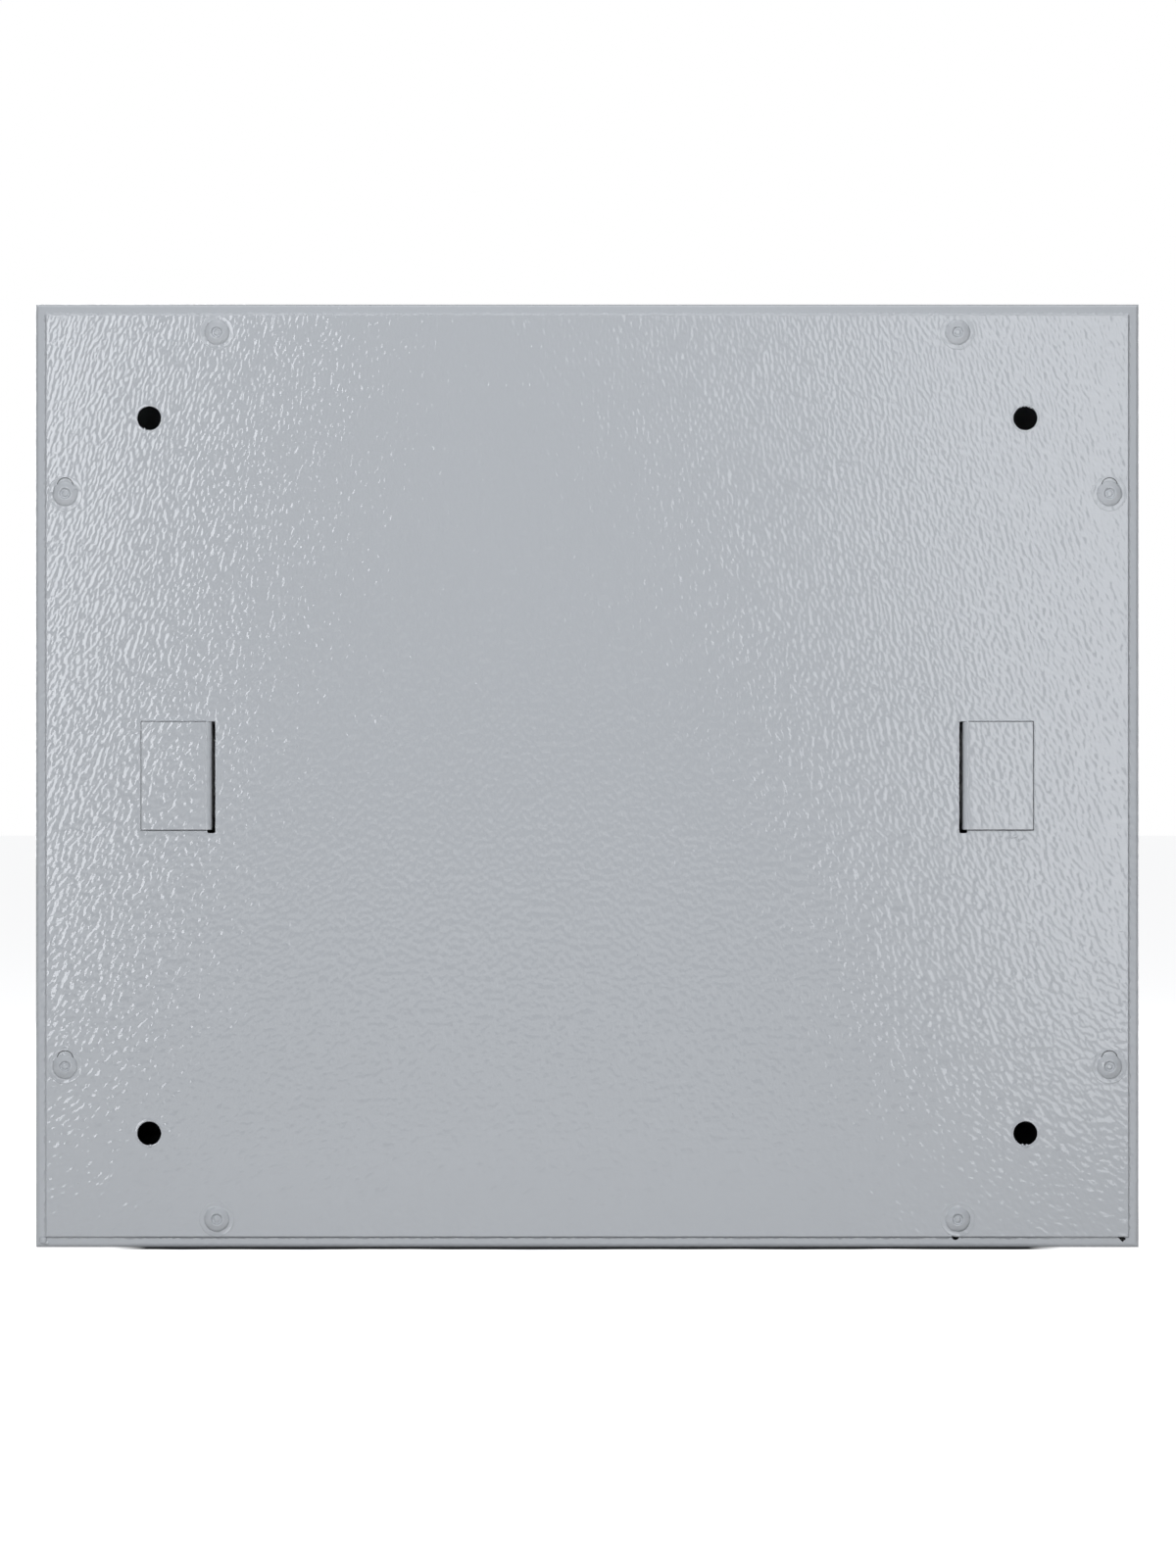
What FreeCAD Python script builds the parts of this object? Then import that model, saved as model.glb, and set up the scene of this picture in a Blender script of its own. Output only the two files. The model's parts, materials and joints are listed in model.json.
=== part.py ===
"""A twelve-module, surface-mounting distribution box of folded steel sheet.

Lengths are millimetres and angles are degrees.  The frame is that of the box on its wall: +Z is up,
+X is to the right of a person who faces the door, and -Y points out of the door.  The origin is on
the rear face of the rear plate, in the middle of the four wall holes.
"""
import FreeCAD
import Part
import math
import os
import re
import Sketcher
from FreeCAD import Placement, Rotation, Vector

SIZES = {
    # the folded shell and its rear plate
    "box_width": 310.0,
    "box_height": 265.0,
    "box_depth": 120.0,
    "steel": 1.0,
    "bend": 2.0,
    "shell_bend": 1.4,
    "shell_inner_bend": 0.4,
    "rear_flange": 15.0,
    "rim_width": 10.0,
    "rim_lip": 13.0,
    "plate_width": 304.0,
    "plate_height": 259.0,
    "plate_edge_round": 0.35,
    "mitre_gap": 1.3,
    "mitre_width": 0.25,
    "mitre_depth": 0.2,
    "drain_radius": 1.1,
    "drain_x": -103.4,
    "knockout_radius": 11.0,
    "knockout_groove": 0.6,
    "knockout_pitch": 50.0,
    # the wall holes
    "hole_pitch_x": 246.0,
    "hole_pitch_z": 200.8,
    "hole_radius": 3.4,
    # the blind rivets that join the plate to the shell
    "rivet_radius": 2.0,
    "rivet_head_radius": 3.45,
    "rivet_head_rise": 1.2,
    "rivet_dimple_radius": 1.45,
    "rivet_bulb_radius": 2.9,
    "rivet_top_x": 104.0,
    "rivet_top_z": 124.5,
    "rivet_side_x": 146.6,
    "rivet_side_z": 80.4,
    "rivet_side_drop": 1.2,
    "rivet_slot_rise": 2.4,
    # the two brackets that carry the mounting rail
    "bracket_steel": 1.2,
    "bracket_height": 30.3,
    "bracket_inner": 105.4,
    "bracket_outer": 125.1,
    "bracket_bend": 2.0,
    "slot_inner": 104.4,
    "slot_outer": 106.7,
    "slot_corner": 0.5,
    "slot_height": 31.4,
    "slot_drop": 0.4,
    # the mounting rail, top-hat section 35 x 7.5
    "rail_length": 250.0,
    "rail_front": -50.0,
    "rail_depth": 7.5,
    "rail_half": 17.5,
    "rail_inner_half": 12.5,
    "rail_slot_pitch": 25.0,
    "rail_slot_length": 18.0,
    "rail_slot_radius": 3.1,
    "rail_screw_x": 119.0,
    "rail_screw_radius": 2.5,
    # the inner cover and what holds it
    "cover_front": -97.0,
    "cover_fold": 4.0,
    "cover_left": -143.5,
    "cover_right": 138.5,
    "cover_half_height": 121.5,
    "window_half_width": 109.0,
    "window_half_height": 23.0,
    "cover_screw_x": 105.0,
    "cover_screw_z": 116.0,
    "cover_screw_radius": 1.6,
    "lug_half_width": 7.0,
    "lug_depth": 14.0,
    # the door, its hinge and its lock
    "door_gap": 2.0,
    "door_fold": 12.0,
    "hinge_inset": 9.0,
    "hinge_depth": 6.0,
    "hinge_pin_radius": 2.0,
    "running_clearance": 0.06,
    "hinge_plate": 1.2,
    "lock_x": 125.0,
    "lock_barrel_radius": 9.0,
    "lock_flange_radius": 11.0,
    "plug_radius": 6.0,
    "cam_front": -105.0,
    "cam_thickness": 2.0,
    "cam_reach": 20.0,
    "cam_width": 12.0,
    "cam_screw_radius": 2.0,
    "ledge_front": -106.5,
    "ledge_width": 6.0,
    "ledge_half_height": 110.0,
    "bumper_height": 1.2,
    "bumper_z": 70.0,
    # the modular devices, one module 18 wide
    "module": 18.0,
    "module_gap": 0.15,
    "module_half_height": 42.5,
    "module_back": -44.5,
    "module_shoulder": -94.0,
    "module_nose": -104.0,
    "nose_half_height": 22.5,
    "rail_play": 0.05,
    "toggle_axis_y": -97.5,
    "toggle_radius": 6.3,
    "toggle_reach": 14.5,
    "toggle_thickness": 4.0,
    "toggle_half_swing": 38.0,
    "toggle_play": 0.4,
    "toggle_pin_radius": 1.5,
    "button_half": 2.7,
    "button_z": 8.0,
    "clip_half_width": 5.0,
    "clip_front": -48.7,
    "clip_thickness": 2.5,
    "clip_play": 0.3,
    "terminal_z": 34.0,
    "terminal_hole_radius": 2.9,
    "terminal_front": -84.0,
    "terminal_back": -72.0,
    "terminal_half_width": 4.0,
    "terminal_depth": 14.5,
    "terminal_screw_radius": 1.7,
    # the neutral and earth bars
    "bar_z": 95.0,
    "bar_half_length": 55.0,
    "bar_front": -32.5,
    "bar_thickness": 6.5,
    "bar_half_height": 4.5,
    "bar_support_x": 45.0,
    "bar_screw_pitch": 9.0,
    "bar_wire_radius": 2.2,
    "bar_screw_radius": 1.7,
    "support_screw_length": 13.0,
    "stud_radius": 2.0,
    "stud_length": 9.0,
    "earth_stud_radius": 3.0,
    "earth_stud_x": -128.0,
    "earth_stud_z": -62.0,
}

# width in modules of each device along the rail, from the left
MAIN_SWITCH_MODULES = 2
RCD_MODULES = 2
BREAKERS = 6
BLANK_MODULES = 2
MODULES = MAIN_SWITCH_MODULES + RCD_MODULES + BREAKERS + BLANK_MODULES
BAR_SCREWS = 9
KNOCKOUTS = 5
RAIL_SLOTS = 8
SIDES = (-1, 1)

TURN_FROM_Z = {
    "x": Rotation(Vector(0, 1, 0), 90),
    "y": Rotation(Vector(1, 0, 0), -90),
    "z": Rotation(),
}

doc = FreeCAD.newDocument("distribution_box")
nodes = []


# ---------------------------------------------------------------- sheet and drawing helpers

def fill_sheet():
    """Write the driving dimensions into the spreadsheet, one named cell each."""
    sheet = doc.addObject("Spreadsheet::Sheet", "Sizes")
    for row, (alias, size) in enumerate(SIZES.items(), start=1):
        sheet.set(f"A{row}", alias)
        sheet.set(f"B{row}", str(size))
        sheet.setAlias(f"B{row}", alias)
    doc.recompute()


def formula(text):
    """Turn the dimension names in a formula into references to the spreadsheet."""
    return re.sub(r"[a-z]\w*", lambda name: "Sizes." + name.group(), str(text))


def bind(thing, **sizes):
    """Tie properties of an object to formulas on the sheet."""
    for name, text in sizes.items():
        thing.setExpression(name, formula(text))
    return thing


def place(thing, x, y, z):
    """Tie the position of an object to formulas on the sheet."""
    for letter, text in zip("xyz", (x, y, z)):
        thing.setExpression("Placement.Base." + letter, formula(text))
    return thing


def block(x_span, y_span, z_span):
    """A rectangular block between two formulas on each axis."""
    thing = doc.addObject("Part::Box", "block")
    lengths = [f"({high}) - ({low})" for low, high in (x_span, y_span, z_span)]
    bind(thing, Length=lengths[0], Width=lengths[1], Height=lengths[2])
    return place(thing, x_span[0], y_span[0], z_span[0])


def rod(axis, x, y, z, radius, length):
    """A cylinder that starts at a point and runs towards the positive end of an axis."""
    thing = doc.addObject("Part::Cylinder", "rod")
    thing.Placement = Placement(Vector(), TURN_FROM_Z[axis])
    bind(thing, Radius=radius, Height=length)
    return place(thing, x, y, z)


def hexagon(axis, x, y, z, across_flats, length):
    """A hexagonal prism, such as a nut, that starts at a point."""
    thing = doc.addObject("Part::Prism", "hexagon")
    thing.Polygon = 6
    thing.Placement = Placement(Vector(), TURN_FROM_Z[axis])
    bind(thing, Circumradius=f"({across_flats}) / 1.7320508", Height=length)
    return place(thing, x, y, z)


def fuse(*pieces):
    """One solid from several that overlap or touch."""
    if len(pieces) == 1:
        return pieces[0]
    thing = doc.addObject("Part::MultiFuse", "fuse")
    thing.Shapes = list(pieces)
    return thing


def cut(base, *tools):
    """A solid less every tool."""
    thing = doc.addObject("Part::Cut", "cut")
    thing.Base = base
    thing.Tool = fuse(*tools)
    return thing


def group(*pieces):
    """Separate solids that share one node."""
    thing = doc.addObject("Part::Compound", "group")
    thing.Links = list(pieces)
    return thing


def tube(axis, x, y, z, outer_radius, inner_radius, length):
    """A ring or a sleeve."""
    outer = rod(axis, x, y, z, outer_radius, length)
    return cut(outer, rod(axis, x, y, z, inner_radius, length))


def profile(plane, points, low, high):
    """A sketched outline padded along the plane's normal, from the formula low to high.

    A point holds formulas for the plane's own two axes: YZ for a YZ plane, XZ for an XZ plane.
    """
    body = doc.addObject("PartDesign::Body", "body")
    origin_plane = next(f for f in body.Origin.OriginFeatures if f.Role == plane + "_Plane")
    sketch = body.newObject("Sketcher::SketchObject", "sketch")
    sketch.AttachmentSupport = [(origin_plane, "")]
    sketch.MapMode = "FlatFace"
    count = len(points)
    corners = [Rotation(Vector(0, 0, 1), 360 * n / count).multVec(Vector(60, 0, 0)) for n in range(count)]
    for n in range(count):
        sketch.addGeometry(Part.LineSegment(corners[n], corners[(n + 1) % count]), False)
    for n in range(count):
        sketch.addConstraint(Sketcher.Constraint("Coincident", n, 2, (n + 1) % count, 1))
    for n, point in enumerate(points):
        for kind, text in zip(("DistanceX", "DistanceY"), point):
            index = sketch.addConstraint(Sketcher.Constraint(kind, n, 1, 1.0))
            sketch.setExpression(f"Constraints[{index}]", formula(text))
    pad = body.newObject("PartDesign::Pad", "pad")
    pad.Profile = sketch
    bind(pad, Length=f"({high}) - ({low})")
    # the normal of an XZ plane points to -Y, so its pad hangs from the high end
    start = {"YZ": (low, 0, 0), "XZ": (0, high, 0), "XY": (0, 0, low)}[plane]
    return place(body, *start)


def rounded(base, radius, wanted):
    """Round the edges that wanted(edge) picks."""
    doc.recompute()
    size = SIZES[radius]
    picked = [n for n, edge in enumerate(base.Shape.Edges, start=1) if wanted(edge)]
    thing = doc.addObject("Part::Fillet", "rounded")
    thing.Base = base
    thing.Edges = [(n, size, size) for n in picked]
    return thing


def span(middle, half):
    """The two ends of a stretch given by its middle and its half length."""
    return (f"{middle} - ({half})", f"{middle} + ({half})")


def mirrored(side, near, far):
    """A stretch from near to far on the +X or +Z side, or its mirror image."""
    return (near, far) if side > 0 else (f"-({far})", f"-({near})")


def node(name, thing):
    """Name a finished sub-part; its label becomes its file name."""
    thing.Label = name
    nodes.append(thing)
    return thing


def across_y(edge, y):
    """Whether an edge lies in the plane at y."""
    return all(abs(vertex.Y - y) < 1e-6 for vertex in edge.Vertexes)


def along_y(edge):
    """Whether a straight edge runs along Y."""
    return abs(edge.Vertexes[0].Y - edge.Vertexes[-1].Y) > 1


def along_z(edge):
    """Whether a straight edge runs along Z."""
    return abs(edge.Vertexes[0].Z - edge.Vertexes[-1].Z) > 1


# ---------------------------------------------------------------- shell and rear plate

def rivet_places():
    """(x, z, slotted) of the eight rivets: two at the top and bottom, two at each side."""
    ends = [(f"{s} * rivet_top_x", f"{t} * rivet_top_z", False) for t in SIDES for s in SIDES]
    sides = [
        (f"{s} * rivet_side_x", f"{t} * rivet_side_z - rivet_side_drop", True)
        for t in SIDES for s in SIDES
    ]
    return ends + sides


def shell():
    """The folded walls, with the rear flange, the front rim and the lips round the door.

    The flange and the rim are folded; the four corners between the walls are welded and ground sharp.
    """
    whole = block(
        span(0, "box_width / 2"), ("-box_depth", "-steel"), span(0, "box_height / 2"))
    hollow = block(
        span(0, "box_width / 2 - steel"), ("steel - box_depth", "-2 * steel"),
        span(0, "box_height / 2 - steel"))
    skin = cut(
        rounded(whole, "shell_bend", lambda edge: not along_y(edge)),
        rounded(hollow, "shell_inner_bend", lambda edge: not along_y(edge)),
        block(
            span(0, "box_width / 2 - rear_flange"), ("-3 * steel", "0"),
            span(0, "box_height / 2 - rear_flange")),
        block(
            span(0, "box_width / 2 - rim_width - steel / 2"), ("-box_depth - steel", "2 * steel - box_depth"),
            span(0, "box_height / 2 - rim_width - steel / 2")))
    lip_depth = ("-box_depth", "rim_lip - box_depth")
    lips = block(
        span(0, "box_width / 2 - rim_width + steel"), lip_depth,
        span(0, "box_height / 2 - rim_width + steel"))
    door_hole = block(
        span(0, "box_width / 2 - rim_width"), ("-box_depth - steel", "rim_lip - box_depth + steel"),
        span(0, "box_height / 2 - rim_width"))
    lip_x = "box_width / 2 - rim_width"
    ledge = block(
        (f"{lip_x} - ledge_width", f"{lip_x} + steel"), ("ledge_front", "ledge_front + steel"),
        span(0, "ledge_half_height"))
    ledge_root = block(
        (lip_x, f"{lip_x} + steel"), ("rim_lip - box_depth - steel", "ledge_front + steel"),
        span(0, "ledge_half_height"))
    folded = fuse(skin, cut(lips, door_hole), ledge, ledge_root)
    tools = [rod("y", x, "-3 * steel", z, "rivet_radius", "2 * steel") for x, z, slotted in rivet_places()]
    tools.append(drain_hole())
    tools += [
        rod("z", *hinge_axis(), f"{side} * (box_height / 2 - rim_width + steel / 2) - steel",
            "hinge_pin_radius", "2 * steel")
        for side in SIDES
    ]
    tools += knockout_grooves()
    tools += rim_mitres()
    tools.append(mitre_notch())
    return node("shell", cut(folded, *tools))


def drain_hole():
    """A small hole through the bottom flange, under the edge of the rear plate."""
    return rod("y", "drain_x", "-3 * steel", "-plate_height / 2 + 0.2", "drain_radius", "4 * steel")


def mitre_notch():
    """The open end of the mitre between the bottom flange and the side flange."""
    notch = block((0, 22), ("-3 * steel", "0"), span(0, "mitre_gap / 2"))
    notch.Placement = Placement(Vector(), Rotation(Vector(0, 1, 0), -45))
    return place(notch, "4.6 - box_width / 2", "-3 * steel", "1.5 - box_height / 2")


def rim_mitres():
    """The fine lines where the four folds of the front rim meet."""
    lines = []
    for side in SIDES:
        for end in SIDES:
            line = block((0, 1), (0, 1), (0, 1))
            bind(line, Length="1.5 * rim_width", Width="2 * mitre_depth", Height="mitre_width")
            turn = math.degrees(math.atan2(-end, -side))
            line.Placement = Placement(Vector(), Rotation(Vector(0, 1, 0), -turn))
            corner = (f"{side} * (box_width / 2 + 0.1)", f"{end} * (box_height / 2 + 0.1)")
            lines.append(place(line, corner[0], "-box_depth - mitre_depth", corner[1]))
    return lines


def knockout_grooves():
    """Half-punched rings in the top and bottom walls, for the cable entries."""
    grooves = []
    for side in SIDES:
        low = "box_height / 2 - steel / 2" if side > 0 else "-box_height / 2 - steel / 2"
        for n in range(KNOCKOUTS):
            x = f"({n} - {(KNOCKOUTS - 1) / 2}) * knockout_pitch"
            grooves.append(tube(
                "z", x, "-box_depth / 2", low, "knockout_radius + knockout_groove",
                "knockout_radius", "steel"))
    return grooves


def rear_plate():
    """The flat sheet that closes the back, with the wall holes."""
    blank = block(span(0, "plate_width / 2"), ("-steel", "0"), span(0, "plate_height / 2"))
    blank = rounded(blank, "plate_edge_round", lambda edge: across_y(edge, 0))
    through = ("-2 * steel", "3 * steel")
    tools = [
        rod("y", f"{s} * hole_pitch_x / 2", through[0], f"{t} * hole_pitch_z / 2",
            "hole_radius", through[1])
        for s in SIDES for t in SIDES
    ]
    for x, z, slotted in rivet_places():
        tools.append(rod("y", x, through[0], z, "rivet_radius", through[1]))
        if slotted:
            top = f"{z} + rivet_slot_rise"
            tools.append(rod("y", x, through[0], top, "rivet_radius", through[1]))
            tools.append(block(span(x, "rivet_radius"), ("-2 * steel", "steel"), (z, top)))
    for side in SIDES:
        slot = block(
            mirrored(side, "slot_inner", "slot_outer"), ("-2 * steel", "steel"),
            span("-slot_drop", "slot_height / 2"))
        tools.append(rounded(slot, "slot_corner", along_y))
    tools.append(drain_hole())
    return node("rear_plate", cut(blank, *tools))


def rear_rivets():
    """Domed blind rivets: head, shank and the bulb that the mandrel pulled up inside."""
    rivets = []
    for x, z, slotted in rivet_places():
        # the dome is a slice of a sphere that rises by rivet_head_rise over the head's radius
        ball_radius = "(rivet_head_radius ^ 2 + rivet_head_rise ^ 2) / (2 * rivet_head_rise)"
        ball = bind(doc.addObject("Part::Sphere", "ball"), Radius=ball_radius)
        place(ball, x, f"rivet_head_rise - {ball_radius}", z)
        reach = "rivet_head_radius + 1"
        dome = doc.addObject("Part::Common", "dome")
        dome.Base = ball
        dome.Tool = block(span(x, reach), ("0", "rivet_head_rise + 1"), span(z, reach))
        shank = rod("y", x, "-2 * steel", z, "rivet_radius", "2 * steel")
        bulb = rod("y", x, "-5 * steel", z, "rivet_bulb_radius", "3 * steel")
        dimple = rod("y", x, "rivet_head_rise * 0.35", z, "rivet_dimple_radius", "rivet_head_rise")
        rivets.append(cut(fuse(dome, shank, bulb), dimple))
    return node("rear_rivets", group(*rivets))


# ---------------------------------------------------------------- rail and brackets

def din_bracket(name, side):
    """A bracket folded to a C: a tab outside the plate, a web through its slot, and a seat."""
    seat = "rail_front + rail_depth"
    strip = block(
        mirrored(side, "bracket_inner", "bracket_outer"), (seat, "bracket_steel"),
        span(0, "bracket_height / 2"))
    inside = block(
        mirrored(side, "bracket_inner + bracket_steel", "bracket_outer + bracket_steel"),
        (f"{seat} + bracket_steel", "0"), span(0, "bracket_height"))
    fold = side * SIZES["bracket_inner"]

    def outer_bend(edge):
        return all(abs(vertex.X - fold) < 1e-6 for vertex in edge.Vertexes) and along_z(edge)

    bent = cut(rounded(strip, "bracket_bend", outer_bend), inside)
    screw = rod("y", f"{side} * rail_screw_x", f"{seat} - bracket_steel", 0,
                "rail_screw_radius", "3 * bracket_steel")
    return node(name, cut(bent, screw))


def din_rail():
    """The top-hat rail, with a row of slots and its two screw holes."""
    back = "rail_front + rail_depth"
    half = [
        ("rail_front", "rail_half"),
        ("rail_front + steel", "rail_half"),
        ("rail_front + steel", "rail_inner_half + steel"),
        (back, "rail_inner_half + steel"),
    ]
    inner = [("rail_front", "rail_inner_half"), (f"{back} - steel", "rail_inner_half")]
    lower = [(y, f"-({z})") for y, z in reversed(half)]
    lower_inner = [(y, f"-({z})") for y, z in inner]
    outline = half + lower + lower_inner + inner[::-1]
    strip = profile("YZ", outline, "-rail_length / 2", "rail_length / 2")
    base = (f"{back} - 2 * steel", f"{back} + steel")
    tools = [
        rod("y", f"{side} * rail_screw_x", base[0], 0, "rail_screw_radius", "3 * steel")
        for side in SIDES
    ]
    for n in range(RAIL_SLOTS):
        middle = f"({n} - {(RAIL_SLOTS - 1) / 2}) * rail_slot_pitch"
        half_straight = "(rail_slot_length / 2 - rail_slot_radius)"
        tools.append(block(span(middle, half_straight), base, span(0, "rail_slot_radius")))
        for side in SIDES:
            tools.append(rod(
                "y", f"{middle} + {side} * {half_straight}", base[0], 0, "rail_slot_radius",
                "3 * steel"))
    return node("din_rail", cut(strip, *tools))


def slotted_screw(x, z, front, head_radius, head_height, shank_radius, length):
    """A pan-head screw that points to +Y; front is where its head bears."""
    head = rod("y", x, f"{front} - ({head_height})", z, head_radius, head_height)
    shank = rod("y", x, front, z, shank_radius, length)
    groove = block(
        span(x, head_radius), (f"{front} - 2 * ({head_height})", f"{front} - ({head_height}) * 0.5"),
        span(z, f"({head_radius}) * 0.15"))
    return cut(fuse(head, shank), groove)


def rail_screws():
    """A screw and a nut at each end of the rail."""
    seat = "rail_front + rail_depth"
    pieces = []
    for side in SIDES:
        x = f"{side} * rail_screw_x"
        pieces.append(slotted_screw(x, 0, f"{seat} - steel", 4.4, 2.6, "rail_screw_radius", 8))
        rear = f"{seat} + bracket_steel"
        pieces.append(cut(
            hexagon("y", x, rear, 0, 8, 4), rod("y", x, rear, 0, "rail_screw_radius", 4)))
    return node("rail_screws", group(*pieces))


def end_stops():
    """Snap-on plastic stops that keep the row of devices from sliding."""
    hook = [
        ("rail_front - 12", 12), ("rail_front - 6", 20), ("rail_front + 3", 20),
        ("rail_front + 3", 15.5), ("rail_front + 1.1", 15.5), ("rail_front + 1.1", 17.8),
        ("rail_front - rail_play", 17.8),
    ]
    outline = hook + [(y, f"-({z})") for y, z in reversed(hook)]
    inner_end = f"{MODULES / 2} * module + 0.5"
    stops = [
        profile("YZ", outline, *mirrored(side, inner_end, f"{inner_end} + 4.8"))
        for side in SIDES
    ]
    return node("end_stops", group(*stops))


# ---------------------------------------------------------------- inner cover

def cover_screw_places():
    return [(f"{s} * cover_screw_x", t) for s in SIDES for t in SIDES]


def cover_lugs():
    """Angles welded to the top and bottom walls, which take the screws of the cover."""
    lugs = []
    back = "cover_front + steel"
    for x, side in cover_screw_places():
        wall = "box_height / 2 - steel"
        width = span(x, "lug_half_width")
        foot = block(width, (back, f"{back} + lug_depth"), mirrored(side, f"{wall} - steel", wall))
        tab = block(width, (back, f"{back} + steel"), mirrored(side, "cover_screw_z - 5", wall))
        screw = rod("y", x, f"{back} - steel", f"{side} * cover_screw_z", "cover_screw_radius", "3 * steel")
        lugs.append(cut(fuse(foot, tab), screw))
    return node("cover_lugs", group(*lugs))


def inner_cover():
    """A shallow steel tray with a window for the noses of the devices."""
    front = "cover_front - cover_fold"
    back = "cover_front + steel"
    tray = cut(
        block(("cover_left", "cover_right"), (front, back), span(0, "cover_half_height")),
        block(("cover_left + steel", "cover_right - steel"), (f"{front} - steel", "cover_front"),
              span(0, "cover_half_height - steel")))
    window = block(
        span(0, "window_half_width"), (front, f"{back} + steel"), span(0, "window_half_height"))
    holes = [
        rod("y", x, front, f"{side} * cover_screw_z", "cover_screw_radius + 0.6", 8)
        for x, side in cover_screw_places()
    ]
    return node("inner_cover", cut(tray, window, *holes))


def cover_screws():
    """Four pan-head screws."""
    screws = [
        slotted_screw(x, f"{side} * cover_screw_z", "cover_front", 4, 2.4, "cover_screw_radius", 6)
        for x, side in cover_screw_places()
    ]
    return node("cover_screws", group(*screws))


def blanking_strip():
    """A plastic strip that closes the unused end of the window, scored at each module."""
    left = f"{MODULES / 2 - BLANK_MODULES} * module + 0.3"
    right = f"{MODULES / 2} * module - 0.3"
    back = "cover_front + steel"
    high = "window_half_height - 0.4"
    shape = fuse(
        block((left, right), ("module_nose", f"{back} + 1.5"), span(0, high)),
        block((left, right), (back, f"{back} + 1.5"), span(0, "window_half_height + 2.5")))
    hollow = block(
        (f"{left} + 1.5", f"{right} - 1.5"), ("module_nose + 1.5", f"{back} + 3"),
        span(0, "window_half_height - 1.9"))
    score = block(
        span(f"{MODULES / 2 - BLANK_MODULES / 2} * module", 0.4), ("module_nose - 1", "module_nose + 0.5"),
        span(0, "window_half_height"))
    return node("blanking_strip", cut(shape, hollow, score))


# ---------------------------------------------------------------- door, hinge and lock

def hinge_axis():
    """X and Y of the upright hinge axis."""
    return ("hinge_inset + door_gap + rim_width - box_width / 2", "hinge_depth - box_depth")


def door():
    """A steel pan that sits inside the rim."""
    half_width = "box_width / 2 - rim_width - door_gap"
    half_height = "box_height / 2 - rim_width - door_gap"
    whole = block(span(0, half_width), ("-box_depth", "door_fold - box_depth"), span(0, half_height))

    def front_or_corner(edge):
        return across_y(edge, -SIZES["box_depth"]) or along_y(edge)

    hollow = block(
        span(0, f"{half_width} - steel"), ("steel - box_depth", "door_fold - box_depth + steel"),
        span(0, f"{half_height} - steel"))

    def inner_front_or_corner(edge):
        return across_y(edge, SIZES["steel"] - SIZES["box_depth"]) or along_y(edge)

    pan = cut(
        rounded(whole, "bend", front_or_corner), rounded(hollow, "steel", inner_front_or_corner))
    lock_hole = rod("y", "lock_x", "-box_depth - steel", 0, "lock_barrel_radius", "3 * steel")
    pin_holes = [
        rod("z", *hinge_axis(), f"{side} * ({half_height} - steel / 2) - steel",
            "hinge_pin_radius + running_clearance", "2 * steel")
        for side in SIDES
    ]
    return node("door", cut(pan, lock_hole, *pin_holes))


def door_hinge_plates():
    """Small plates welded inside the door's folds, which thicken them round the pins."""
    x, y = hinge_axis()
    inner = "box_height / 2 - rim_width - door_gap - steel"
    plates = []
    for side in SIDES:
        height = mirrored(side, f"{inner} - hinge_plate", inner)
        plate = block((f"{x} - 6.5", f"{x} + 14"), (f"{y} - 3.9", f"{y} + 5"), height)
        plates.append(cut(plate, rod(
            "z", x, y, f"{height[0]} - steel", "hinge_pin_radius + running_clearance",
            "hinge_plate + 2 * steel")))
    return node("door_hinge_plates", group(*plates))


def hinge_pins():
    """Headed pins, riveted in the lips of the shell."""
    lip = "box_height / 2 - rim_width"
    pins = []
    for side in SIDES:
        low, high = mirrored(side, f"{lip} - 5.5", f"{lip} + steel")
        shank = rod("z", *hinge_axis(), low, "hinge_pin_radius", f"({high}) - ({low})")
        low, high = mirrored(side, f"{lip} + steel", f"{lip} + 2.2 * steel")
        head = rod("z", *hinge_axis(), low, "hinge_pin_radius + 1.2", f"({high}) - ({low})")
        pins.append(fuse(shank, head))
    return node("hinge_pins", group(*pins))


def hinge_washers():
    """Plastic washers in the gap between the lips and the door."""
    lip = "box_height / 2 - rim_width"
    rings = []
    for side in SIDES:
        low, high = mirrored(side, f"{lip} - 1.4", lip)
        rings.append(tube(
            "z", *hinge_axis(), low, "hinge_pin_radius + 2.2", "hinge_pin_radius", f"({high}) - ({low})"))
    return node("hinge_washers", group(*rings))


def door_bumpers():
    """Two rubber pads on the ledge that the door closes on."""
    x = "box_width / 2 - rim_width - ledge_width / 2"
    pads = [
        rod("y", x, "ledge_front - bumper_height", f"{side} * bumper_z", 2.7, "bumper_height")
        for side in SIDES
    ]
    return node("door_bumpers", group(*pads))


def lock_housing():
    """The flanged barrel of the cam lock."""
    flange = rod("y", "lock_x", "-box_depth - 1.6", 0, "lock_flange_radius", 1.6)
    barrel = rod("y", "lock_x", "-box_depth", 0, "lock_barrel_radius", "cam_front - 0.4 + box_depth")
    bore = rod("y", "lock_x", "-box_depth - 2", 0, "plug_radius + running_clearance", 20)
    return node("lock_housing", cut(fuse(flange, barrel), bore))


def lock_nut():
    """The nut that clamps the lock to the door."""
    place_on_skin = ("lock_x", "steel - box_depth", 0)
    return node("lock_nut", cut(
        hexagon("y", *place_on_skin, 23, 4), rod("y", *place_on_skin, "lock_barrel_radius", 4)))


def lock_plug():
    """The part that the key turns."""
    length = "cam_front + box_depth + 1.2"
    plug = rod("y", "lock_x", "-box_depth - 1.2", 0, "plug_radius", length)
    key_slot = block(span("lock_x", 0.7), ("-box_depth - 2", "6 - box_depth"), span(0, 3.6))
    thread = rod("y", "lock_x", "cam_front - 7", 0, "cam_screw_radius", 8)
    return node("lock_plug", cut(plug, key_slot, thread))


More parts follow.
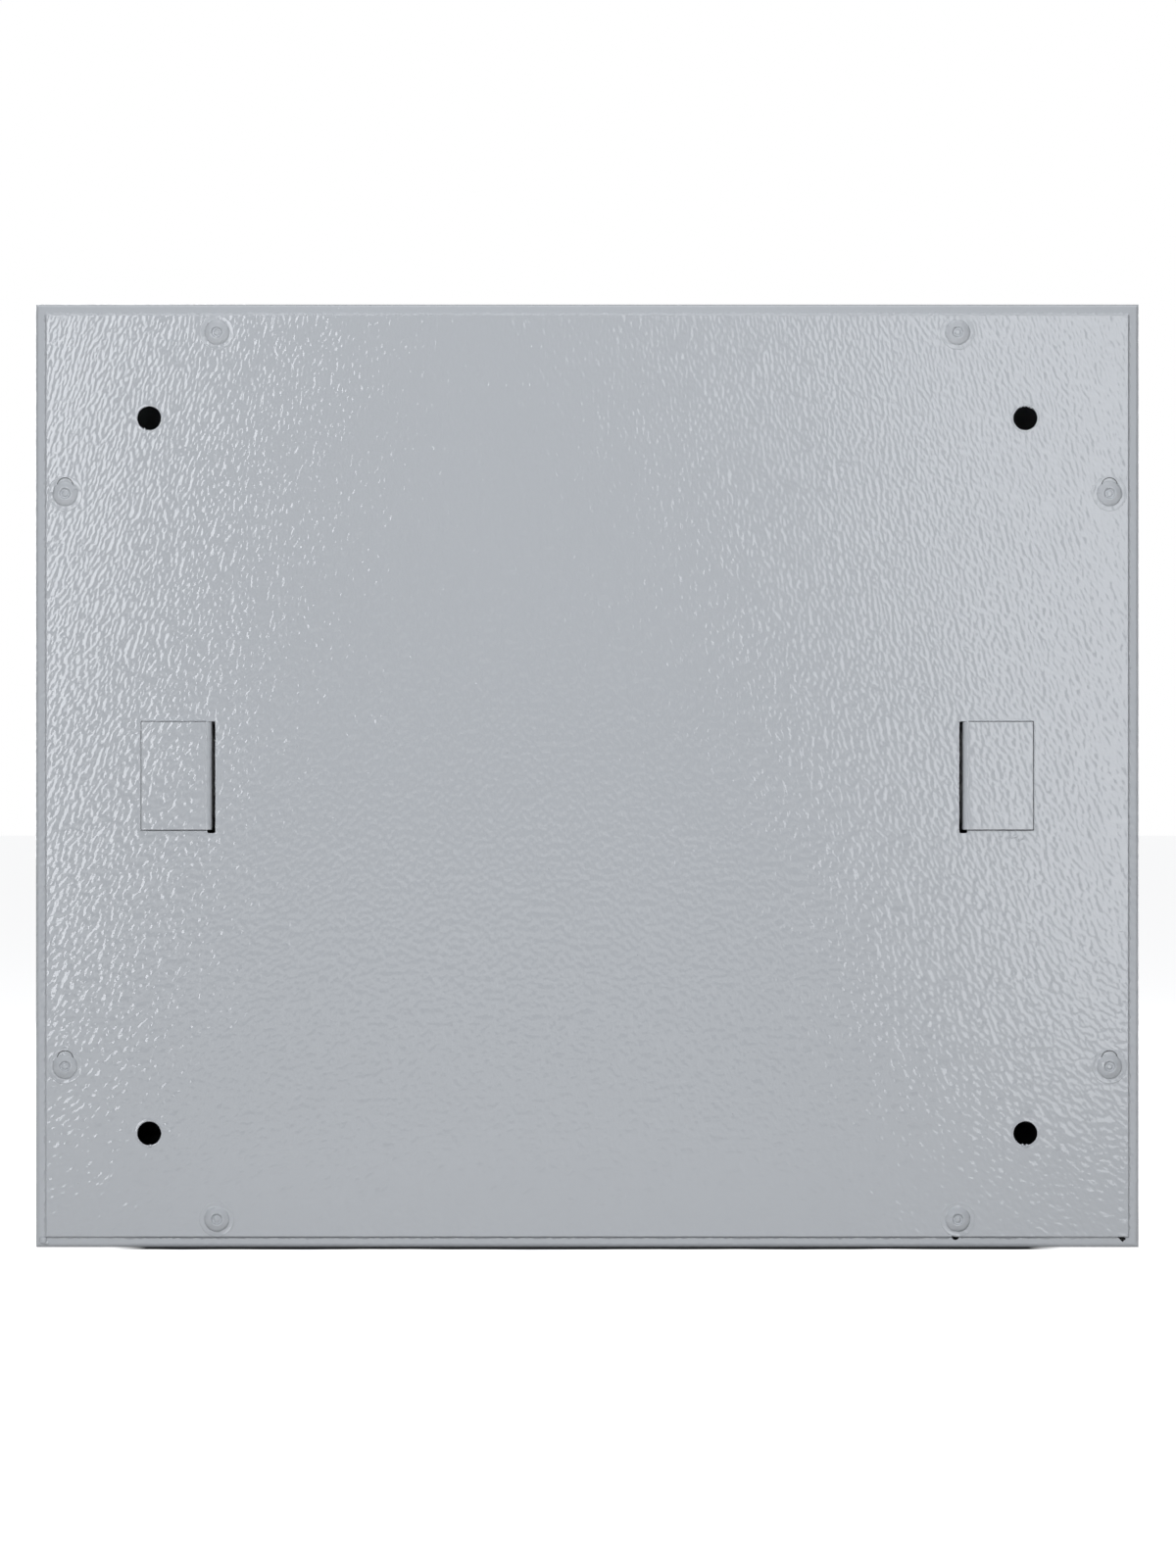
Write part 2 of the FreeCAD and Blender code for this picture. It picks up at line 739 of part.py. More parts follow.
def lock_cam():
    """The arm that turns behind the ledge; it stands upright while the lock is open."""
    thickness = ("cam_front", "cam_front + cam_thickness")
    half = "cam_width / 2"
    arm = block(span("lock_x", half), thickness, (0, f"cam_reach - {half}"))
    ends = [
        rod("y", "lock_x", "cam_front", z, half, "cam_thickness")
        for z in (0, f"cam_reach - {half}")
    ]
    hole = rod("y", "lock_x", "cam_front - 1", 0, "cam_screw_radius", "cam_thickness + 2")
    return node("lock_cam", cut(fuse(arm, *ends), hole))


def cam_screw():
    """The screw that holds the cam on the plug."""
    behind = "cam_front + cam_thickness"
    head = hexagon("y", "lock_x", behind, 0, 7, 2.5)
    shank = rod("y", "lock_x", f"{behind} - 8", 0, "cam_screw_radius", 8)
    return node("cam_screw", fuse(head, shank))


# ---------------------------------------------------------------- modular devices

def device_ends(first, count):
    """Left and right ends of a device that starts after so many modules and is so many wide."""
    left = f"({first} - {MODULES / 2}) * module"
    return f"{left} + module_gap", f"{left} + {count} * module - module_gap"


def pole_middles(first, count):
    """X of the middle of each module of a device."""
    return [f"({first + n + 0.5} - {MODULES / 2}) * module" for n in range(count)]


def device_outline():
    """The outline across Y and Z: shoulders, nose, and the notch that hooks on the rail."""
    seat = "rail_front - rail_play"
    behind_lip = "rail_front + steel + 0.3"
    return [
        ("module_back", "-module_half_height"),
        ("module_shoulder", "-module_half_height"),
        ("module_shoulder", "-nose_half_height"),
        ("module_nose", "-nose_half_height"),
        ("module_nose", "nose_half_height"),
        ("module_shoulder", "nose_half_height"),
        ("module_shoulder", "module_half_height"),
        ("module_back", "module_half_height"),
        ("module_back", "rail_half - 2"),
        (behind_lip, "rail_half - 2"),
        (behind_lip, "rail_half + 0.3"),
        (seat, "rail_half + 0.3"),
        (seat, "-rail_half - 7"),
        ("module_back", "-rail_half - 7"),
    ]


def device_housing(name, first, count, toggle_x, toggle_half, extra=()):
    """The moulded case of a device, with its terminal, clip and toggle openings."""
    case = profile("YZ", device_outline(), *device_ends(first, count))
    tools = list(extra)
    for x in pole_middles(first, count):
        for side in SIDES:
            z = f"{side} * terminal_z"
            tools.append(rod(
                "y", x, "module_shoulder - 1", z, "terminal_hole_radius",
                "terminal_front - module_shoulder + 2"))
            end = "module_half_height"
            tools.append(block(
                span(x, "terminal_half_width"), ("terminal_front", "terminal_back"),
                mirrored(side, f"{end} - terminal_depth", f"{end} + 1")))
    clip_x = clip_middle(first, count)
    tools.append(block(
        span(clip_x, "clip_half_width + clip_play"), ("clip_front - clip_play", "module_back + 1"),
        ("-module_half_height - 1", "-rail_half - 6")))
    slot = span(toggle_x, f"{toggle_half} + toggle_play")
    drum_length = f"2 * ({toggle_half} + toggle_play)"
    tools.append(rod("x", slot[0], "toggle_axis_y", 0, "toggle_radius + toggle_play", drum_length))
    tools.append(block(slot, ("module_nose - 1", "toggle_axis_y - 1"), span(0, "toggle_radius + 1.9")))
    socket = span(toggle_x, f"{toggle_half} + 1.6")
    tools.append(rod(
        "x", socket[0], "toggle_axis_y", 0, "toggle_pin_radius + running_clearance",
        f"2 * ({toggle_half} + 1.6)"))
    return node(name, cut(case, *tools))


def clip_middle(first, count):
    """X of the middle of a device."""
    return f"({first + count / 2} - {MODULES / 2}) * module"


def device_toggle(name, x, half_width):
    """A toggle with its drum and pivot pins, in its upper position."""
    drum = rod("x", f"{x} - {half_width}", "toggle_axis_y", 0, "toggle_radius", f"2 * {half_width}")
    pins = rod("x", f"{x} - {half_width} - 1.2", "toggle_axis_y", 0, "toggle_pin_radius",
               f"2 * ({half_width} + 1.2)")
    # the lever is drawn pointing to -Y from the pivot, then turned up
    lever = profile(
        "YZ",
        [
            ("0", "-toggle_thickness * 0.62"), ("0", "toggle_thickness * 0.62"),
            ("-toggle_reach", "toggle_thickness * 0.38"), ("-toggle_reach", "-toggle_thickness * 0.38"),
        ],
        f"{x} - {half_width}", f"{x} + {half_width}")
    lever.Placement = Placement(Vector(), Rotation(Vector(1, 0, 0), -SIZES["toggle_half_swing"]))
    place(lever, f"{x} - {half_width}", "toggle_axis_y", 0)
    return node(name, fuse(drum, pins, lever))


def rail_clip(name, first, count):
    """The sliding foot that grips the lower lip of the rail."""
    x = clip_middle(first, count)
    bar = block(
        span(x, "clip_half_width"), ("clip_front", "clip_front + clip_thickness"),
        ("-module_half_height - 3", "2.7 - rail_half"))
    finger_slot = block(
        span(x, 2), ("clip_front - 1", "clip_front + clip_thickness + 1"),
        ("-module_half_height - 2", "-module_half_height - 0.6"))
    return node(name, cut(bar, finger_slot))


def main_switch():
    """A two-pole isolating switch with one wide toggle."""
    middle = clip_middle(0, MAIN_SWITCH_MODULES)
    device_housing("main_switch_housing", 0, MAIN_SWITCH_MODULES, middle, 12)
    device_toggle("main_switch_toggle", middle, 12)
    rail_clip("main_switch_clip", 0, MAIN_SWITCH_MODULES)


def rcd():
    """A two-pole residual-current device: a toggle, and a test button to its left."""
    first = MAIN_SWITCH_MODULES
    middle = clip_middle(first, RCD_MODULES)
    toggle_x = f"{middle} + 6"
    button_x = f"{middle} - 10"
    well = block(
        span(button_x, "button_half + 0.35"), ("module_nose - 1", "module_nose + 5.5"),
        span("button_z", "button_half + 0.35"))
    device_housing("rcd_housing", first, RCD_MODULES, toggle_x, 7, extra=[well])
    device_toggle("rcd_toggle", toggle_x, 7)
    button = block(
        span(button_x, "button_half"), ("module_nose - 1.2", "module_nose + 4"),
        span("button_z", "button_half"))
    node("rcd_test_button", button)
    rail_clip("rcd_clip", first, RCD_MODULES)


def breakers():
    """Six single-pole circuit breakers, side by side."""
    start = MAIN_SWITCH_MODULES + RCD_MODULES
    for n in range(BREAKERS):
        middle = clip_middle(start + n, 1)
        device_housing(f"breaker_{n + 1}_housing", start + n, 1, middle, 4.6)
        device_toggle(f"breaker_{n + 1}_toggle", middle, 4.6)
        rail_clip(f"breaker_{n + 1}_clip", start + n, 1)


def all_poles():
    """X of the middle of every pole."""
    return pole_middles(0, MAIN_SWITCH_MODULES + RCD_MODULES + BREAKERS)


def terminal_screws():
    """The clamping screw of each terminal, at the bottom of its access hole."""
    screws = [
        slotted_screw(
            x, f"{side} * terminal_z", "terminal_front - 3", 2.6, 2.6, "terminal_screw_radius", 8)
        for x in all_poles() for side in SIDES
    ]
    return node("terminal_screws", group(*screws))


def terminal_cages():
    """The box clamp that each screw draws up."""
    cages = []
    for x in all_poles():
        for side in SIDES:
            height = mirrored(side, "terminal_z - 5", "terminal_z + 5")
            outer = block(
                span(x, "terminal_half_width - 0.3"), ("terminal_front + 0.3", "terminal_back - 0.3"),
                height)
            inner = block(
                span(x, "terminal_half_width - 1.2"), ("terminal_front + 1.3", "terminal_back - 1.3"),
                (f"{height[0]} - 1", f"{height[1]} + 1"))
            screw = rod("y", x, "terminal_front", f"{side} * terminal_z", "terminal_screw_radius", 3)
            cages.append(cut(outer, inner, screw))
    return node("terminal_cages", group(*cages))


def comb():
    """The copper comb that feeds the breakers from below, and its plastic cover."""
    poles = pole_middles(MAIN_SWITCH_MODULES + RCD_MODULES, BREAKERS)
    thickness = ("terminal_front + 5.1", "terminal_front + 7.1")
    below = "-module_half_height"
    ends = (f"{poles[0]} - 6", f"{poles[-1]} + 6")
    strip = block(ends, thickness, (f"{below} - 12", f"{below} - 6"))
    teeth = [block(span(x, 2.2), thickness, (f"{below} - 7", f"{below} + 11")) for x in poles]
    node("comb_busbar", fuse(strip, *teeth))
    sleeve = block(
        (f"{ends[0]} - 1.5", f"{ends[1]} + 1.5"), (f"{thickness[0]} - 2", f"{thickness[1]} + 2"),
        (f"{below} - 14", f"{below} - 3"))
    channel = block(ends, thickness, (f"{below} - 12", f"{below}"))
    return node("comb_insulation", cut(sleeve, channel))


# ---------------------------------------------------------------- neutral and earth bars

def bar_screw_places():
    """X of the terminal screws along a bar."""
    return [f"({n} - {(BAR_SCREWS - 1) / 2}) * bar_screw_pitch" for n in range(BAR_SCREWS)]


def terminal_bar(name, side):
    """A brass bar with cross holes for the wires and tapped holes for their screws."""
    z = f"{side} * bar_z"
    bar = block(
        span(0, "bar_half_length"), ("bar_front", "bar_front + bar_thickness"), span(z, "bar_half_height"))
    tools = []
    for x in bar_screw_places():
        tools.append(rod("y", x, "bar_front - 1", z, "bar_screw_radius", "1 + bar_thickness / 2"))
        tools.append(rod(
            "z", x, "bar_front + bar_thickness / 2", f"{z} - bar_half_height - 1", "bar_wire_radius",
            "2 * bar_half_height + 2"))
    for end in SIDES:
        tools.append(rod(
            "y", f"{end} * bar_support_x", "bar_front - 1", z, "stud_radius", "bar_thickness + 2"))
    return node(name, cut(bar, *tools))


def bar_screws(name, side):
    """The terminal screws of a bar and the two that hold it."""
    z = f"{side} * bar_z"
    screws = [
        slotted_screw(x, z, "bar_front", 2.7, 2.6, "bar_screw_radius", 1.5) for x in bar_screw_places()
    ]
    screws += [
        slotted_screw(
            f"{end} * bar_support_x", z, "bar_front", 3.8, 2.6, "stud_radius", "support_screw_length")
        for end in SIDES
    ]
    return node(name, group(*screws))


def neutral_bar_insulators():
    """Plastic blocks that stand the neutral bar off the plate."""
    z = "bar_z"
    back = "bar_front + bar_thickness"
    blocks = []
    for end in SIDES:
        x = f"{end} * bar_support_x"
        wide = block(span(x, 8), ("-9", "-steel"), span(z, 9))
        narrow = block(span(x, 6), (back, "-9"), span(z, 7))
        screw_hole = rod("y", x, back, z, "stud_radius", "support_screw_length - bar_thickness")
        stud_hole = rod("y", x, "-stud_length - steel", z, "stud_radius", "stud_length + steel")
        blocks.append(cut(fuse(wide, narrow), screw_hole, stud_hole))
    return node("neutral_bar_insulators", group(*blocks))


def earth_bar_supports():
    """Hexagonal spacers that stand the earth bar off the plate."""
    back = "bar_front + bar_thickness"
    spacers = []
    for end in SIDES:
        x = f"{end} * bar_support_x"
        spacer = hexagon("y", x, back, "-bar_z", 8, f"-steel - ({back})")
        screw_hole = rod("y", x, back, "-bar_z", "stud_radius", "support_screw_length - bar_thickness")
        stud_hole = rod("y", x, "-stud_length - steel", "-bar_z", "stud_radius", "stud_length + steel")
        spacers.append(cut(spacer, screw_hole, stud_hole))
    return node("earth_bar_supports", group(*spacers))


def bar_studs():
    """Studs welded to the inside of the rear plate, which the supports screw onto."""
    studs = [
        rod("y", f"{end} * bar_support_x", "-stud_length - steel", f"{side} * bar_z", "stud_radius",
            "stud_length")
        for end in SIDES for side in SIDES
    ]
    return node("bar_studs", group(*studs))


def earth_stud():
    """The main earthing stud with its washer and nut."""
    x, z = "earth_stud_x", "earth_stud_z"
    stud = rod("y", x, -18, z, "earth_stud_radius", "18 - steel")
    washer = tube("y", x, -6.2, z, 6, "earth_stud_radius", 1.2)
    nut = cut(hexagon("y", x, -11.4, z, 10, 5), rod("y", x, -11.4, z, "earth_stud_radius", 5))
    collar = tube("y", x, -5, z, 4.5, "earth_stud_radius", "5 - steel")
    return node("earth_stud", group(stud, washer, nut, collar))


# ---------------------------------------------------------------- build, check and write

def build():
    """Model every sub-part."""
    fill_sheet()
    shell()
    rear_plate()
    rear_rivets()
    din_bracket("din_bracket_left", -1)
    din_bracket("din_bracket_right", 1)
    din_rail()
    rail_screws()
    end_stops()
    cover_lugs()
    inner_cover()
    cover_screws()
    blanking_strip()
    door()
    door_hinge_plates()
    hinge_pins()
    hinge_washers()
    door_bumpers()
    lock_housing()
    lock_nut()
    lock_plug()
    lock_cam()
    cam_screw()
    main_switch()
    rcd()
    breakers()
    terminal_screws()
    terminal_cages()
    comb()
    terminal_bar("neutral_bar", 1)
    bar_screws("neutral_bar_screws", 1)
    neutral_bar_insulators()
    terminal_bar("earth_bar", -1)
    bar_screws("earth_bar_screws", -1)
    earth_bar_supports()
    bar_studs()
    earth_stud()
    doc.recompute()


def check():
    """Stop if an object failed to compute or a sub-part is not sound."""
    for thing in doc.Objects:
        if "Invalid" in thing.State or "Error" in thing.State:
            raise RuntimeError(f"{thing.Label} did not compute: {thing.State}")
    for thing in nodes:
        if thing.Shape.isNull() or not thing.Shape.isValid() or not thing.Shape.Solids:
            raise RuntimeError(f"{thing.Label} is not a sound solid")


def write():
    """Write one STEP file for each sub-part."""
    os.makedirs("parts", exist_ok=True)
    for thing in nodes:
        thing.Shape.exportStep(f"parts/{thing.Label}.step")
        print(f"{thing.Label}: {len(thing.Shape.Solids)} solids, {thing.Shape.Volume:.1f} mm3")
    print(f"{len(nodes)} sub-parts")


build()
check()
write()
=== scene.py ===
"""Looks of the twelve-module distribution box: finishes, paint details, studio light and camera.

The scene is in metres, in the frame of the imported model: +Z is up, -Y points out of the door, and
the rear plate's outer face is the plane y = 0. The details' sizes and places are written in
millimetres, and MM turns them into metres.
"""
import json
import math
import random

import bmesh
import bpy
from mathutils import Euler, Matrix, Vector, noise


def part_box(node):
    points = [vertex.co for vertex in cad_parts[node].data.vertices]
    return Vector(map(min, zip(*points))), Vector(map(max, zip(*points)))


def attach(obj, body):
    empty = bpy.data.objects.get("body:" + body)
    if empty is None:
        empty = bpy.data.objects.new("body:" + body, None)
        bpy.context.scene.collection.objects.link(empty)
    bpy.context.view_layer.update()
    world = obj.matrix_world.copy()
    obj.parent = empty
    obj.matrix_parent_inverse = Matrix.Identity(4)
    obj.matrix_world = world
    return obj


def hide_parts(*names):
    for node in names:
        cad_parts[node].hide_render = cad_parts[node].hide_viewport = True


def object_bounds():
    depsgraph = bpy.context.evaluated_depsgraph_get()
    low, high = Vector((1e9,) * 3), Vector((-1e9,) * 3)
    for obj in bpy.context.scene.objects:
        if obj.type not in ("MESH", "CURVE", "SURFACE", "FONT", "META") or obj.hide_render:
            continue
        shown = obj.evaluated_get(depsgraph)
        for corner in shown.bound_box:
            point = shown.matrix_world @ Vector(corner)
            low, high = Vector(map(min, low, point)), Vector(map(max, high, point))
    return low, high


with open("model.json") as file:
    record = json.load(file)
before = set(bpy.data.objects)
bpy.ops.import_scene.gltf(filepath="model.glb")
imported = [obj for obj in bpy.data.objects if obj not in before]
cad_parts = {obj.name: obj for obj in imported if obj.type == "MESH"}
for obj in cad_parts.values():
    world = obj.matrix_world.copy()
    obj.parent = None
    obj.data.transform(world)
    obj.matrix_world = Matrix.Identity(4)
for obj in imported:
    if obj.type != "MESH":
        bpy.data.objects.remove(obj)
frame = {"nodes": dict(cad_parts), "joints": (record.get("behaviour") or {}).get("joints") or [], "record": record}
cad_low, cad_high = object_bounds()

MM = 0.001
COOL_WHITE = (0.95, 0.967, 1.0)
random.seed(7)
noise.seed_set(7)  # noise_vector takes its offsets from the clock unless they are seeded

PAINT_IOR = 1.5

NODES = frame["nodes"]
BREAKERS = [f"breaker_{n}" for n in range(1, 7)]
DEVICES = ["main_switch", "rcd"] + BREAKERS


def box_mm(node):
    """The lowest and highest corner of a CAD node, in millimetres."""
    return [Vector([round(value / MM, 2) for value in corner]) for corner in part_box(node)]


def joint(name):
    """A joint's row in the frame."""
    return next(row for row in frame["joints"] if row["name"] == name)


# ---------------------------------------------------------------- shader nodes

class Finish:
    """A procedural material: a Principled shader with colour, roughness and bump from noise."""

    def __init__(self, name, colour, roughness, metallic=0.0):
        self.material = bpy.data.materials.new(name)
        self.material.use_nodes = True
        self.material.diffuse_color = (*colour, 1.0)
        self.tree = self.material.node_tree
        self.shader = self.tree.nodes["Principled BSDF"]
        self.shader.inputs["Base Color"].default_value = (*colour, 1.0)
        self.shader.inputs["Roughness"].default_value = roughness
        self.shader.inputs["Metallic"].default_value = metallic
        self.shader.inputs["IOR"].default_value = PAINT_IOR
        self.place = self.tree.nodes.new("ShaderNodeTexCoord").outputs["Object"]
        self.normal = None

    def node(self, kind, **settings):
        """A new shader node with these properties."""
        made = self.tree.nodes.new(kind)
        for key, value in settings.items():
            setattr(made, key, value)
        return made

    def link(self, source, target):
        """Joins an output to an input."""
        self.tree.links.new(source, target)

    def stretched(self, stretch):
        """Object coordinates, scaled along each axis."""
        mapping = self.node("ShaderNodeMapping")
        mapping.inputs["Scale"].default_value = stretch
        self.link(self.place, mapping.inputs["Vector"])
        return mapping.outputs["Vector"]

    def noise(self, size, detail=2.0, rough=0.5, distortion=0.0, stretch=(1, 1, 1)):
        """A noise whose cells are about size across; it runs from 0 to 1."""
        return self.noise_on(self.stretched(stretch), size, detail, rough, distortion)

    def noise_on(self, place, size, detail, rough, distortion):
        """The same noise, on coordinates of its own."""
        made = self.node("ShaderNodeTexNoise")
        made.inputs["Scale"].default_value = 1.0 / size
        made.inputs["Detail"].default_value = detail
        made.inputs["Roughness"].default_value = rough
        made.inputs["Distortion"].default_value = distortion
        self.link(place, made.inputs["Vector"])
        return made.outputs["Fac"]

    def fanned(self, fan, stretch):
        """Object coordinates drawn out along Z by 1 / stretch, in lines that come together upward."""
        parts = self.node("ShaderNodeSeparateXYZ")
        self.link(self.place, parts.inputs["Vector"])
        grow = self.node("ShaderNodeMath", operation="MULTIPLY_ADD")
        grow.inputs[1].default_value = fan
        grow.inputs[2].default_value = 1.0
        self.link(parts.outputs["Z"], grow.inputs[0])
        across = self.node("ShaderNodeMath", operation="MULTIPLY")
        self.link(parts.outputs["X"], across.inputs[0])
        self.link(grow.outputs["Value"], across.inputs[1])
        along = self.node("ShaderNodeMath", operation="MULTIPLY")
        along.inputs[1].default_value = stretch
        self.link(parts.outputs["Z"], along.inputs[0])
        joined = self.node("ShaderNodeCombineXYZ")
        self.link(across.outputs["Value"], joined.inputs["X"])
        self.link(parts.outputs["Y"], joined.inputs["Y"])
        self.link(along.outputs["Value"], joined.inputs["Z"])
        return joined.outputs["Vector"]

    def spread(self, source, low, high, from_low=0.0, from_high=1.0):
        """A value mapped from one range to another, and held inside it."""
        made = self.node("ShaderNodeMapRange")
        made.clamp = True
        for key, value in (
            ("From Min", from_low), ("From Max", from_high), ("To Min", low), ("To Max", high),
        ):
            made.inputs[key].default_value = value
        self.link(source, made.inputs["Value"])
        return made.outputs["Result"]

    def blend_colour(self, factor, first, second):
        """The base colour goes from first to second with factor."""
        made = self.node("ShaderNodeMix", data_type="RGBA")
        made.inputs["A"].default_value = (*first, 1.0)
        made.inputs["B"].default_value = (*second, 1.0)
        self.link(factor, made.inputs["Factor"])
        self.link(made.outputs["Result"], self.shader.inputs["Base Color"])

    def bump(self, height, depth):
        """Adds relief of the given depth to what is there already."""
        made = self.node("ShaderNodeBump")
        made.inputs["Strength"].default_value = 1.0
        made.inputs["Distance"].default_value = depth
        self.link(height, made.inputs["Height"])
        if self.normal is not None:
            self.link(self.normal, made.inputs["Normal"])
        self.normal = made.outputs["Normal"]
        self.link(self.normal, self.shader.inputs["Normal"])

    def roughness(self, source):
        """The roughness follows an output."""
        self.link(source, self.shader.inputs["Roughness"])


# ---------------------------------------------------------------- finishes

def powder_coat():
    """Glossy light grey powder coat with an orange-peel surface."""
    f = Finish("powder_coat", (0.40, 0.42, 0.45), 0.10)
    f.blend_colour(f.noise(60 * MM, 3.0), (0.492, 0.510, 0.528), (0.502, 0.520, 0.539))
    peel = f.noise_on(f.fanned(fan=2.6, stretch=0.70), 1.25 * MM, 0.6, 0.4, 0.1)
    f.bump(peel, 0.12 * MM)
    f.roughness(f.spread(f.noise(25 * MM, 2.0), 0.03, 0.055))
    return f.material


def galvanised():
    """Zinc-plated rolled strip."""
    f = Finish("galvanised_steel", (0.62, 0.63, 0.64), 0.32, metallic=1.0)
    f.blend_colour(f.noise(9 * MM, 4.0, 0.6), (0.52, 0.53, 0.55), (0.68, 0.68, 0.67))
    f.roughness(f.spread(f.noise(3 * MM, 3.0), 0.25, 0.42))
    f.bump(f.noise(0.4 * MM, 2.0, 0.5, 0.0, (0.05, 1, 1)), 0.02 * MM)
    return f.material


def zinc_plate():
    """Bright zinc on screws, nuts and pins."""
    f = Finish("zinc_plate", (0.52, 0.52, 0.505), 0.3, metallic=1.0)
    f.blend_colour(f.noise(3 * MM, 3.0), (0.46, 0.46, 0.46), (0.58, 0.575, 0.54))
    f.roughness(f.spread(f.noise(1.5 * MM, 3.0), 0.18, 0.36))
    f.bump(f.noise(0.5 * MM, 3.0), 0.015 * MM)
    return f.material


def lock_chrome():
    """Satin nickel on the lock."""
    f = Finish("lock_chrome", (0.50, 0.495, 0.48), 0.16, metallic=1.0)
    f.roughness(f.spread(f.noise(4 * MM, 4.0, 0.6), 0.12, 0.22))
    f.bump(f.noise(0.8 * MM, 2.0), 0.004 * MM)
    return f.material


def brass():
    """Drawn brass bar."""
    f = Finish("brass", (0.72, 0.52, 0.22), 0.28, metallic=1.0)
    f.blend_colour(f.noise(12 * MM, 3.0), (0.62, 0.43, 0.17), (0.78, 0.58, 0.27))
    f.roughness(f.spread(f.noise(2 * MM, 3.0), 0.2, 0.4))
    f.bump(f.noise(0.5 * MM, 2.0, 0.5, 0.0, (0.05, 1, 1)), 0.015 * MM)
    return f.material


def copper():
    """Stamped copper strip."""
    f = Finish("copper", (0.72, 0.36, 0.22), 0.3, metallic=1.0)
    f.blend_colour(f.noise(10 * MM, 3.0), (0.58, 0.26, 0.15), (0.78, 0.41, 0.27))
    f.roughness(f.spread(f.noise(2 * MM, 3.0), 0.22, 0.42))
    return f.material


def moulded(name, colour, roughness=0.42):
    """Injection-moulded plastic with a spark-eroded grain."""
    f = Finish(name, colour, roughness)
    dark = tuple(c * 0.95 for c in colour)
    f.blend_colour(f.noise(20 * MM, 2.0), dark, colour)
    f.roughness(f.spread(f.noise(1.0 * MM, 3.0), roughness - 0.06, roughness + 0.08))
    f.bump(f.noise(0.35 * MM, 2.0), 0.02 * MM)
    return f.material


def rubber():
    """Matt black rubber."""
    f = Finish("black_rubber", (0.03, 0.03, 0.03), 0.8)
    f.blend_colour(f.noise(3 * MM, 3.0), (0.022, 0.022, 0.022), (0.04, 0.04, 0.04))
    f.bump(f.noise(0.5 * MM, 3.0), 0.03 * MM)
    return f.material


FINISHES = {
    "powder_coat": powder_coat(),
    "galvanised_steel": galvanised(),
    "zinc_plate": zinc_plate(),
    "lock_chrome": lock_chrome(),
    "brass": brass(),
    "copper": copper(),
    "blue_plastic": moulded("blue_plastic", (0.02, 0.11, 0.42), 0.3),
    "grey_plastic": moulded("grey_plastic", (0.30, 0.31, 0.32)),
    "black_rubber": rubber(),
    "white_plastic": moulded("white_plastic", (0.78, 0.78, 0.75)),
    "device_plastic": moulded("device_plastic", (0.70, 0.71, 0.70)),
    "red_plastic": moulded("red_plastic", (0.55, 0.02, 0.015), 0.3),
    "black_plastic": moulded("black_plastic", (0.018, 0.018, 0.020), 0.3),
}


def finish_cad_nodes():
    """Give every carried-over node the finish of its slot."""
    slots = {row["node"]: row["material_slot"] for row in frame["record"]["subparts"]}
    for name, thing in NODES.items():
        thing.data.materials.clear()
        thing.data.materials.append(FINISHES[slots[name]])


# ---------------------------------------------------------------- floor, light and camera

FLOOR_SIZE, FLOOR_GAP = 12.0, 0.0002
ROOM_LIGHT = 0.21
# Painted contact shadow on the floor: where it fades out beside, in front of and behind the box, and its colour
SHADOW_FADE_SIDES = (124 * MM, 134 * MM)
SHADOW_FADE_FRONT = (114 * MM, 118 * MM)
SHADOW_FADE_REAR = (6.5 * MM, 7 * MM)
FLOOR_PAINT, PAINTED_CONTACT_SHADOW = (0.93, 0.93, 0.93), (0.01, 0.01, 0.01)
FLOOR_GLOW = 0.75


def backdrop():
    """A white floor, and a room that is white to the camera and dim to everything else."""
    floor_mesh = bmesh.new()
    bmesh.ops.create_grid(floor_mesh, x_segments=1, y_segments=1, size=FLOOR_SIZE)
    floor = mesh_object("floor", floor_mesh)
    floor.location = (0, 0, cad_low.z - FLOOR_GAP)
    floor.data.materials.append(floor_with_painted_shadow())
    floor.visible_diffuse = False
    world = bpy.data.worlds.new("studio")
    bpy.context.scene.world = world
    world.use_nodes = True
    nodes, links = world.node_tree.nodes, world.node_tree.links
    light = nodes["Background"]
    light.inputs["Color"].default_value = (*COOL_WHITE, 1)
    light.inputs["Strength"].default_value = ROOM_LIGHT
    seen = nodes.new("ShaderNodeBackground")
    seen.inputs["Color"].default_value = (1, 1, 1, 1)
    path = nodes.new("ShaderNodeLightPath")
    mix = nodes.new("ShaderNodeMixShader")
    links.new(path.outputs["Is Camera Ray"], mix.inputs["Fac"])
    links.new(light.outputs["Background"], mix.inputs[1])
    links.new(seen.outputs["Background"], mix.inputs[2])
    links.new(mix.outputs["Shader"], nodes["World Output"].inputs["Surface"])


def lights():
    """Softboxes behind, in front and above. Gives back the gloss panels behind and in front."""
    rear = [
        gloss_panel("left_softbox", edge=0.264, y=0.95, span=(-0.11, 0.45), width=0.24, lean=-7.0,
                    brightness=6.8),
        gloss_panel("right_softbox", edge=-0.178, y=0.95, span=(-0.165, 0.50), width=0.27, lean=12.0,
                    brightness=4.0),
    ]
    front = [
        gloss_panel("front_gloss_left", edge=-0.22, y=-1.0, span=(-0.10, 0.45), width=0.3, lean=7.0,
                    brightness=3.5),
        gloss_panel("front_gloss_right", edge=0.20, y=-1.0, span=(-0.16, 0.45), width=0.3, lean=-9.0,
                    brightness=2.6),
    ]
    for name, place, side, aim, brightness in (
        ("rear_fill", (0.0, 0.5, 0.13), 0.3, (0, -1, 0), 4.0),
        ("rear_key", (0.35, 1.95, 0.6), 0.3, (-0.35, -1.95, -0.6), 49.0),
    ):
        light = softbox(name, place, side, side, Vector(aim), brightness)
        light.visible_glossy = False
    for name, place, width, height, aim, brightness in (
        ("front_softbox", (0.55, -1.2, 0.35), 0.7, 0.8, (-0.4, 1, -0.25), 4.2),
        ("front_fill", (-1.1, -0.9, 0.2), 0.6, 0.8, (1, 0.7, -0.1), 2.8),
        ("top_softbox", (0.0, 0.1, 1.5), 1.2, 1.0, (0, 0, -1), 1.5),
    ):
        softbox(name, place, width, height, Vector(aim), brightness)
    return rear, front


